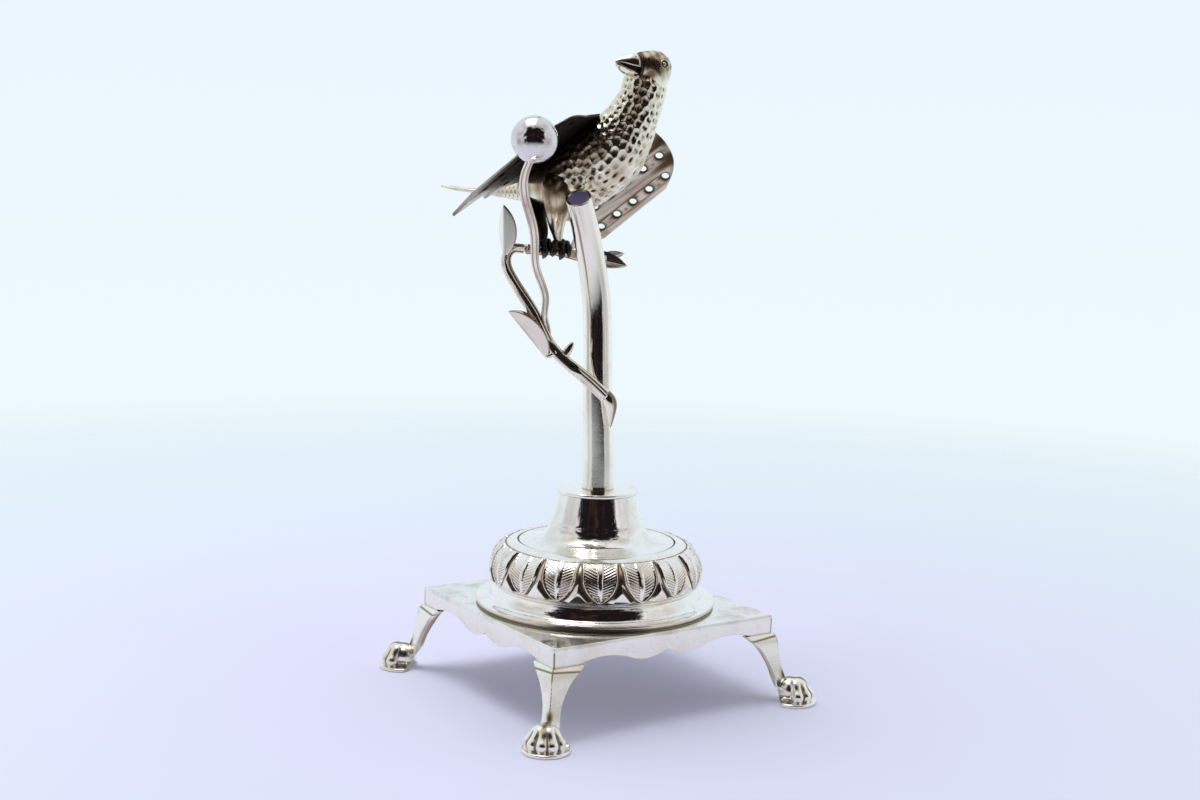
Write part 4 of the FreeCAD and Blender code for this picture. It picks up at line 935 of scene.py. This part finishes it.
def make_body():
    """Body and neck in one, hammered all over in staggered cells, with a punched oval in each."""
    route = natural([(*bird(a, z), r) for a, z, r in SPINE], 330)
    path, radii = route[:, :3], route[:, 3]
    _, first, second = carried(path, LEFT)
    along, angle = lengths(path), circle(272)
    bowls, ovals = np.zeros((len(path), len(angle))), np.zeros((len(path), len(angle)))
    chance = np.random.default_rng(11)
    place, row = 15.0, 0
    while place < along[-1] - 1.5:
        radius = np.interp(place, along, radii)
        pitch = 2.5 if place < 36 else 2.15
        count = max(9, int(round(FULL * radius / pitch)))
        near = np.abs(along - place) < 2.6
        fade = ramp(place, 14.0, 20.0)
        for i in range(count):
            middle = (i + 0.5 * (row % 2) + chance.uniform(-0.13, 0.13)) * FULL / count
            length, width = chance.uniform(0.28, 0.42), chance.uniform(0.19, 0.3)
            force, turn = chance.uniform(0.35, 1.0), chance.uniform(-0.5, 0.5)
            a = (along[near] - place - chance.uniform(-0.3, 0.3))[:, None]
            b = (wrapped(angle - middle) * radius)[None, :]
            a, b = a * cos(turn) - b * sin(turn), a * sin(turn) + b * cos(turn)
            bowl = np.clip(1 - (a / (0.52 * pitch)) ** 2 - (b / (0.5 * pitch)) ** 2, 0, 1) ** 0.7
            oval = hump(np.hypot(a / (length * pitch), b / (width * pitch)), 1.0) * force
            bowls[near] = np.maximum(bowls[near], bowl * fade)
            ovals[near] = np.maximum(ovals[near], oval * fade)
        place += pitch * 0.86
        row += 1
    outwards = spokes(first, second, np.cos(angle), np.sin(angle))
    neck = ramp(along, 33.0, 39.0)[:, None]
    # Painted shade and reflection: over the back, under the belly and towards the tail's root, and a stripe
    # down the right side of the neck, all mottled; the punched ovals are painted dark as shade.
    back = ramp(outwards @ unit((-0.62, -0.7, 0.5)), 0.45, 0.95) * (1 - neck)
    stripe = hump(np.arccos(np.clip(outwards @ unit((-0.1, -1.0, 0.0)), -1, 1)), 0.42) * neck
    below = ramp(outwards @ unit((0.1, -0.2, -1.0)), 0.1, 0.8) * (1 - neck)
    cloud = clouds(angle * 5 + along[:, None] * 0.7, angle * 3 - along[:, None] * 0.45)
    painted_shade_and_reflection = 0.5 * darkest(back, stripe) * (0.45 + 0.6 * cloud) + 0.3 * below * cloud
    painted_shade_and_reflection = np.maximum(painted_shade_and_reflection, 0.5 * (1 - ramp(along, 10, 20))[:, None] * cloud ** 0.6)
    r = (radii * closing(along, 1.5))[:, None] - 0.24 * bowls - 0.25 * ovals
    body = woven(path[:, None] + outwards * r[..., None], darkest(ramp(ovals, 0.25, 0.8), painted_shade_and_reflection + 0.1 * bowls))
    chased_piece("bird_body", body)


HEAD = bird(28.5, 49.7)
LOOK = vec(cos(radians(205)), sin(radians(205)), 0)
HEAD_SIDE = np.cross(UP, LOOK)
BEAK_ROOT = HEAD + LOOK * 4.72 + UP * 0.64


def make_head():
    """A smooth egg-shaped head with ringed eyes and small punched spots; the spots are small balls painted dark
    as shade.
    """
    # Forward of the middle, radius and rise.
    knots = [(-4.58, 0.25, 0.0), (-4.35, 1.3, 0.0), (-3.7, 2.6, 0.0), (-2.4, 3.8, 0.02), (-0.8, 4.42, 0.02),
             (0.6, 4.42, 0.1), (2.2, 4.05, 0.28), (3.6, 3.6, 0.5), (4.55, 3.28, 0.62), (4.8, 3.1, 0.66)]
    t, share, rise = np.array(knots).T
    fine = (1 - np.cos(np.linspace(0, pi, 100))) / 2 * (t[-1] - t[0]) + t[0]
    radius = np.interp(fine, t, share)
    radius[4:-4] = np.convolve(radius, np.ones(9) / 9, "valid")
    path = HEAD + LOOK * fine[:, None] + UP * np.interp(fine, t, rise)[:, None]
    angle = circle(96)
    upwards, sideways = np.cos(angle), np.sin(angle)
    upwards = np.where(upwards < 0, upwards * (1 + 0.45 * ramp(2.8 - fine, 0, 3)[:, None]), upwards)
    ring = upwards[..., None] * UP + (sideways * 0.92)[:, None] * HEAD_SIDE
    rows = path[:, None] + radius[:, None, None] * ring
    forward, high = (rows - HEAD) @ LOOK, (rows - HEAD) @ UP
    # Painted shade under the jaw and where the beak meets the head; the crown is darker towards the top, in
    # clouds.
    jaw = 0.72 * hump(forward - 2.6, 1.5) * hump(high + 2.0, 1.5)
    crown = (0.2 + 0.36 * clouds(forward * 2.3 + high, high * 1.7 - forward)) * ramp(high, -4.5, 0.5)
    parts = [woven(rows, darkest(jaw, crown, hump(forward - 4.62, 0.34)))]
    for hand in (1, -1):
        out = unit(HEAD_SIDE * hand * 0.97 - LOOK * 0.2 + UP * 0.2)
        eye = HEAD + out * 4.12
        # The eye rings and pupils are painted dark as shade.
        parts += [hoop(eye + out * 0.03, out, 1.12, 0.17, 0.35), hoop(eye, out, 0.84, 0.15, 0.95),
                  ball(eye - out * 0.2, 0.62, tone=0.3)]
        for forward, high, aside, small in ((3.3, 2.2, 3.1, 0.26), (1.9, 1.9, 3.5, 0.2)):
            parts.append(ball(HEAD + LOOK * forward + UP * high + HEAD_SIDE * hand * aside, small, tone=0.95))
    figure_piece("bird_head", merged(parts), CHASED)


def mouth(angle, along):
    """An open wedge along both sides of the beak, and a groove at its root, both painted dark as shade."""
    share = along / along[-1]
    from_top = np.abs(wrapped(angle))
    middle = np.interp(share, [0, 0.33, 0.66, 1], [2.32, 1.98, 1.72, 1.6])
    half = np.interp(share, [0, 0.12, 0.33, 0.66, 0.93, 1], [0.36, 0.36, 0.3, 0.22, 0.12, 0.0])
    wedge = 1 - ramp(np.abs(from_top - middle), half * 0.7, half + 0.04)
    groove = hump(along - 0.25, 0.5)
    upper_line = 0.45 * hump(from_top - middle + half + 0.14, 0.06)
    return (1 - 0.36 * wedge * (half > 0.02) - 0.07 * groove,
            darkest(wedge * ramp(half, 0.02, 0.1), 0.95 * groove, upper_line))


def make_beak():
    """A stout blunt beak with an open mouth and two nostrils, painted dark as shade."""
    # Forward of the root, rise, half width and half depth.
    knots = ((0, 0, 3.02, 2.72), (1.3, -0.12, 3.0, 2.6), (3.1, -0.2, 2.8, 2.2), (4.8, 0.02, 2.05, 1.5),
             (6.1, 0.3, 1.05, 0.75), (6.68, 0.45, 0.3, 0.2))
    beak = natural([(*(BEAK_ROOT + LOOK * f + UP * z), w, d) for f, z, w, d in knots], 110)
    parts = [swept(beak[:, :3], beak[:, 3], beak[:, 4], UP, 88, mouth)]
    for hand in (1, -1):
        parts.append(ball(BEAK_ROOT + LOOK * 1.7 + HEAD_SIDE * hand * 1.75 + UP * 1.75, 0.3, tone=0.95))
    figure_piece("beak", merged(parts), CHASED)


HOLE_RADIUS, HOLE_PITCH, ROW_PITCH = 1.05, 6.2, 5.9
WING_HOLES = np.array([(3.9 + HOLE_PITCH * (i - (row % 2) / 2), 20.8 - ROW_PITCH * row)
                       for row in range(3) for i in range(5)])


def wing_outline(bow):
    """Points (back, out) around a wing, from its root along the bowed front edge to the feather ends."""
    length, width, tip = 31.0, 24.2, 10.5
    front = natural([(0.6, -3.5, 0), (-bow, width * 0.36, 0), (-0.6, width * 0.8, 0),
                     (6.6, width * 0.985, 0)], 30)
    rest = [(length, width), (length + tip, width * 0.84), (length + 1.4, width * 0.66),
            (length + 4.6, width * 0.48), (length + 0.6, width * 0.26), (length - 0.5, -3.5)]
    return np.concatenate([front[:, :2], rest])


def make_wing(label, side, bow):
    """A plate with soft edges, pierced by three staggered rows of countersunk holes."""
    half_thick, soft_edge = 0.45, 0.18
    origin = bird(*BREAST) + FORWARDS * 5.0 + BIRD_UP * 7.0 + LEFT * side * 7.0
    droop = radians(30 + side * 20)
    outwards = LEFT * side * cos(droop) - BIRD_UP * sin(droop)
    rearwards = -FORWARDS
    normal = np.cross(outwards, rearwards)
    normal *= np.sign(normal[2])
    data = bpy.data.curves.new(label + "_outline", "CURVE")
    data.dimensions, data.fill_mode = "2D", "BOTH"
    data.extrude = (half_thick - soft_edge) * MM
    data.bevel_depth, data.bevel_resolution, data.offset = soft_edge * MM, 3, -soft_edge * MM
    loops = [wing_outline(bow)]
    for i, hole in enumerate(WING_HOLES):
        start = circle(36) + 0.031 * (7 * i % 11)
        loops.append(hole + HOLE_RADIUS * np.stack([np.cos(start), np.sin(start)], -1))
    for loop in loops:
        line = data.splines.new("POLY")
        line.points.add(len(loop) - 1)
        flat, weights = np.zeros(len(loop)), np.ones(len(loop))
        line.points.foreach_set("co", np.column_stack([loop * MM, flat, weights]).ravel())
        line.use_cyclic_u = True
    chosen(linked(label + "_form", data))
    bpy.ops.object.convert(target="MESH")
    plate = bpy.context.object
    to_edit()
    sewn(4 * MERGE)
    picked(plate, "faces", lambda face: abs(face.normal.z) > 0.99)
    bpy.ops.mesh.subdivide(number_cuts=3)
    to_object()

    flat = read_points(plate)
    x, y, z = flat.T
    gap = np.min(np.hypot(x[:, None] - WING_HOLES[:, 0], y[:, None] - WING_HOLES[:, 1]), axis=1)
    cloud = clouds(x * 0.55 + y * 0.3, y * 0.62 - x * 0.21)
    spots = np.sin(x * 1.5 + 1.4 * np.sin(y * 0.9)) * np.sin(y * 1.7 + 1.2 * np.sin(x * 0.8))
    # Tone: painted shade round the holes, over the root by the body and over the near wing's underside; darker
    # spots, clouds and a darker front edge.
    holes = darkest(0.85 * (1 - ramp(gap, 1.0, 1.55)), 0.5 * (1 - ramp(gap, 1.3, 2.9)) * cloud)
    root = 0.9 * (1 - ramp(y, 2.0, 9.0)) * (0.5 + 0.5 * cloud)
    front = 0.3 * cloud ** 3 + 0.5 * (1 - ramp(x, 0.5, 5.0)) * cloud
    underside = 0.97 * (1 - ramp(x, 25, 34)) * (z < 0) * (side < 0)
    noted(plate, darkest(holes, 0.4 * ramp(spots, 0.1, 0.9), root, front, underside))
    z += 0.12 * np.sin(x * 0.42) * np.sin(y * 0.37) + half_thick
    set_points(plate, origin + flat @ np.stack([rearwards, outwards, normal]))
    to_edit()
    sewn()
    chased_piece(label, plate, SHEET if side > 0 else SHADED, sharp=30)


def powered(v, power):
    return np.sign(v) * abs(v) ** power


def make_tail():
    """A scaled root, then two feathers that part in a fork."""
    # Along and up from the root, half width and half depth.
    knots = [(1.5, 0, 2.95, 2.95), (-5.2, -0.3, 2.3, 1.8), (-11, -0.4, 2.7, 0.99), (-16, -0.2, 3.2, 0.77),
             (-21, 0.1, 2.97, 0.59), (-25.4, 0.7, 2.64, 0.45)]
    along, rise = TAIL_ROOT
    route = natural([(*bird(along + a, rise + z), w, d) for a, z, w, d in knots], 110)
    path, widths, depths = route[:, :3], route[:, 3:4], route[:, 4:5]
    _, first, second = carried(path, LEFT)
    total, angle = lengths(path)[:, None], circle(40)
    fork = ramp(total, 17.8, 26.9) * 1.65
    scales = 0.5 + 0.5 * np.sin(total * 4.4) * np.cos(angle * 4)
    tone = 0.55 * scales ** 3 * (1 - ramp(total, 9, 12))
    feathers = []
    for hand in (1, -1):
        half = np.maximum((widths - fork) / 2, 0.12)
        x = hand * ((widths + fork) / 2 + half * powered(np.cos(angle), 0.6))
        share = np.clip(np.abs(x) / widths, 0, 1)
        y = powered(np.sin(angle), 0.7) * depths * np.sqrt(1 - 0.75 * share ** 2)
        feathers.append(woven(path[:, None] + spokes(first, second, x, y), tone))
    chased_piece("tail", merged(feathers))


def make_bird_legs():
    """Feathered legs; the left one is dull and painted dark as shade."""
    right = [(-10.6, -0.6, 85.8, 4.2), (-12.3, -2.4, 81.8, 5.0), (-12.9, -1.4, 77.3, 3.9),
             (-13.2, 0.2, 74.0, 2.9), (-13.1, 1.4, 70.4, 1.8), (-12.6, 1.9, 67.0, 1.0)]
    left = [(-17.6, 7.6, 86.1, 2.6), (-19.2, 7.6, 82.1, 3.4), (-19.3, 6.0, 77.1, 2.9),
            (-18.4, 4.0, 73.1, 2.3), (-17.2, 2.0, 69.9, 1.7), (-17.0, 0.4, 67.3, 1.1)]
    for label, knots, shade in (("right_leg", right, 0.0), ("left_leg", left, 0.85)):
        # Tone: painted shade between the barbs, darker towards the body, and the left leg painted dark all over
        # as shade.
        def carve(angle, along):
            stagger = np.round(np.sin(angle * 4)) * 0.25
            barbs = hump(np.sin(angle * 4 + along * 0.5), 0.35) * hump((along * 0.42 + stagger) % 1 - 0.5, 0.22)
            barbs = barbs * ramp(along, 3.0, 5.0) * 0.5
            cloud = clouds(angle * 2 + along * 0.6, angle * 3 - along * 0.9)
            thigh = (0.2 + 0.3 * cloud) * ramp(17.0 - along, 0.0, 9.0)
            return 1 - 0.03 * barbs, darkest(0.25 * barbs + thigh + 0.08 + shade)

        chased_piece(label, tube(natural(knots, 90), RIGHT, 56, carve, 0.6))


def make_feet():
    """Three toes that close round the perch, and a knuckle on top of each."""
    line = [vec(*p) for p in PERCH_LINE]
    share = np.linspace(0, 1, 60)
    grip, knuckle_rise = 2.15, 2.4
    for label, index in (("right_foot", 2), ("left_foot", 1)):
        middle = line[index]
        direction = unit(line[index + 1] - line[index - 1])
        across = unit(np.cross(UP, direction))
        over = np.cross(direction, across)
        shapes = []
        for step, slant, size, closes in ((-1.7, -0.5, 0.72, 235), (0.0, 0.15, 0.82, 262),
                                          (1.6, 0.6, 0.7, 225)):
            turn = np.radians(np.linspace(-8, closes, len(share)))[:, None]
            reach = (grip + 0.12 * np.sin(share * 9 + step))[:, None]
            path = middle + direction * (step + slant * share)[:, None]
            path = path + reach * (np.cos(turn) * across + np.sin(turn) * over)
            bar = size * (1 + 0.2 * np.sin(share * 19 + step)) * (1 - 0.7 * ramp(share, 0.8, 1.0))
            shapes.append(swept(path, bar, bar, direction, 20, ends=0.5))
        for step, knuckle in ((-1.5, 0.95), (0.2, 1.15), (1.7, 0.9)):
            shapes.append(ball(middle + over * knuckle_rise + direction * step + across * 0.3 * step, knuckle))
        chased_piece(label, merged(shapes), CLAW)


# ---------------------------------------------------------------- camera, light and floor

def make_camera():
    """The camera; returns the directions that it looks in and has to its right and above."""
    pitch, roll = radians(7.68), radians(1.65)
    view = unit(vec(0.5547, 0.83205, 0) * cos(pitch) - UP * sin(pitch))
    level = unit(np.cross(view, UP))
    right = level * cos(roll) + np.cross(level, view) * sin(roll)
    top = np.cross(right, view)
    camera = linked("camera", bpy.data.cameras.new("camera"))
    camera.data.lens, camera.data.sensor_width = 48.0, 36.0
    camera.data.clip_start, camera.data.clip_end = 0.01, 20.0
    place = Matrix((right, top, -view)).transposed().to_4x4()
    place.translation = Vector((-0.2416, -0.3622, 0.1392))
    camera.matrix_world = place
    bpy.context.scene.camera = camera
    return view, right, top


def make_tent(view, right, top):
    """A white tent with a dark, frayed opening towards the viewer."""
    world = bpy.data.worlds.new("studio")
    bpy.context.scene.world = world
    graph = Graph(world)
    direction = graph.node("ShaderNodeTexCoord", output="Generated")

    def towards(axis):
        return graph.node("ShaderNodeVectorMath", {0: direction, 1: tuple(float(v) for v in axis)}, "Value",
                          operation="DOT_PRODUCT")

    back = towards(-view)
    safe = graph.most(back, 0.001)
    ragged = graph.noise(direction, 4.4, 5.0)
    fray = graph.ranged(ragged, 0.3, 0.7, -0.42, 0.42)

    def within(axis, middle, outside):
        """1 inside the opening's frayed edge on one axis, 0 outside it."""
        off = graph.maths("SUBTRACT", graph.maths("DIVIDE", towards(axis), safe), middle)
        return graph.ranged(graph.plus(graph.maths("ABSOLUTE", off), fray), outside, 1.0)

    opening = graph.times(within(right, 0.1, 1.3), within(top, 0.3, 1.32))
    opening = graph.times(opening, graph.ranged(back, 0.15, 0.3))
    upright = graph.node("ShaderNodeSeparateXYZ", {0: direction}, 2)
    tent = graph.blended(graph.ranged(upright, -0.1, 0.75), (0.66, 0.66, 0.69), (0.92, 0.92, 0.91))
    shade = graph.ranged(graph.noise(direction, 2.2, 3.0), 0.35, 0.65, 0.6, 1.12)
    tent = graph.node("ShaderNodeVectorMath", {0: tent, 3: shade}, operation="SCALE")
    inside = graph.blended(graph.ranged(ragged, 0.55, 0.8), (0.01, 0.008, 0.01), (0.16, 0.075, 0.03))
    lit = graph.blended(opening, tent, inside)
    seen = graph.blended(graph.ranged(upright, -0.12, 0.12), (0.86, 0.95, 0.985), (0.83, 0.92, 1.0))
    shown = graph.times(graph.ray("Glossy"), graph.ranged(back, 0.05, -0.25))
    final = graph.blended(graph.most(graph.ray("Camera"), shown), lit, seen)
    background = graph.node("ShaderNodeBackground", {"Color": final, "Strength": 1.0})
    graph.node("ShaderNodeOutputWorld", {"Surface": background})


def make_floor():
    """A pale floor that fades into the background."""
    size = 3.0
    mesh = bpy.data.meshes.new("floor")
    corners = [(-size, -size, 0), (size, -size, 0), (size, size, 0), (-size, size, 0)]
    mesh.from_pydata(corners, [], [(0, 1, 2, 3)])
    floor = linked("floor", mesh)
    material = bpy.data.materials.new("pale_floor")
    graph = Graph(material)
    where = graph.node("ShaderNodeTexCoord", output="Object")
    far = graph.node("ShaderNodeVectorMath", {0: where}, "Value", operation="LENGTH")
    soft = graph.ranged(graph.noise(where, 6.0, 2.0), 0.3, 0.7)
    near = graph.blended(soft, (0.715, 0.73, 0.93), (0.735, 0.75, 0.95))
    colour = graph.blended(graph.ranged(far, 0.08, 0.32), near, (0.72, 0.84, 0.97))
    paper = graph.node("ShaderNodeBsdfDiffuse", {"Color": colour})
    clear = graph.node("ShaderNodeBsdfTransparent")
    glossy = graph.ray("Glossy")
    tint = graph.blended(glossy, (0.045, 0.05, 0.06), (0.12, 0.11, 0.06))
    seen = graph.most(graph.ray("Camera"), glossy)
    glow = graph.node("ShaderNodeEmission", {"Color": tint, "Strength": seen})
    paper = graph.node("ShaderNodeAddShader", {0: paper, 1: glow})
    faded = graph.node("ShaderNodeMixShader", {0: graph.ranged(far, 0.12, 0.62), 1: paper, 2: clear})
    graph.node("ShaderNodeOutputMaterial", {"Surface": faded})
    mesh.materials.append(material)


def make_key():
    """A broad key light from above and behind."""
    light = bpy.data.lights.new("key", "AREA")
    light.shape, light.size, light.size_y, light.energy = "RECTANGLE", 0.42, 0.34, 2.35
    key = linked("key", light)
    spot, aim = Vector((-0.12, 0.1, 0.75)), Vector((0, 0, 0.06))
    key.location = spot
    key.rotation_mode = "QUATERNION"
    key.rotation_quaternion = (aim - spot).to_track_quat("-Z", "Y")


def build():
    for make in (make_platform, make_aprons, make_legs, make_foot_ring, make_leaf_band, make_bell,
                 make_collar, make_fastening, make_trunk, make_vine, make_leaves, make_berry, make_body,
                 make_head, make_beak):
        make()
    make_wing("right_wing", -1, 0.6)
    make_wing("left_wing", 1, 3.2)
    make_tail()
    make_bird_legs()
    make_feet()
    make_tent(*make_camera())
    make_floor()
    make_key()
    bpy.context.scene.view_settings.view_transform = "Standard"


build()
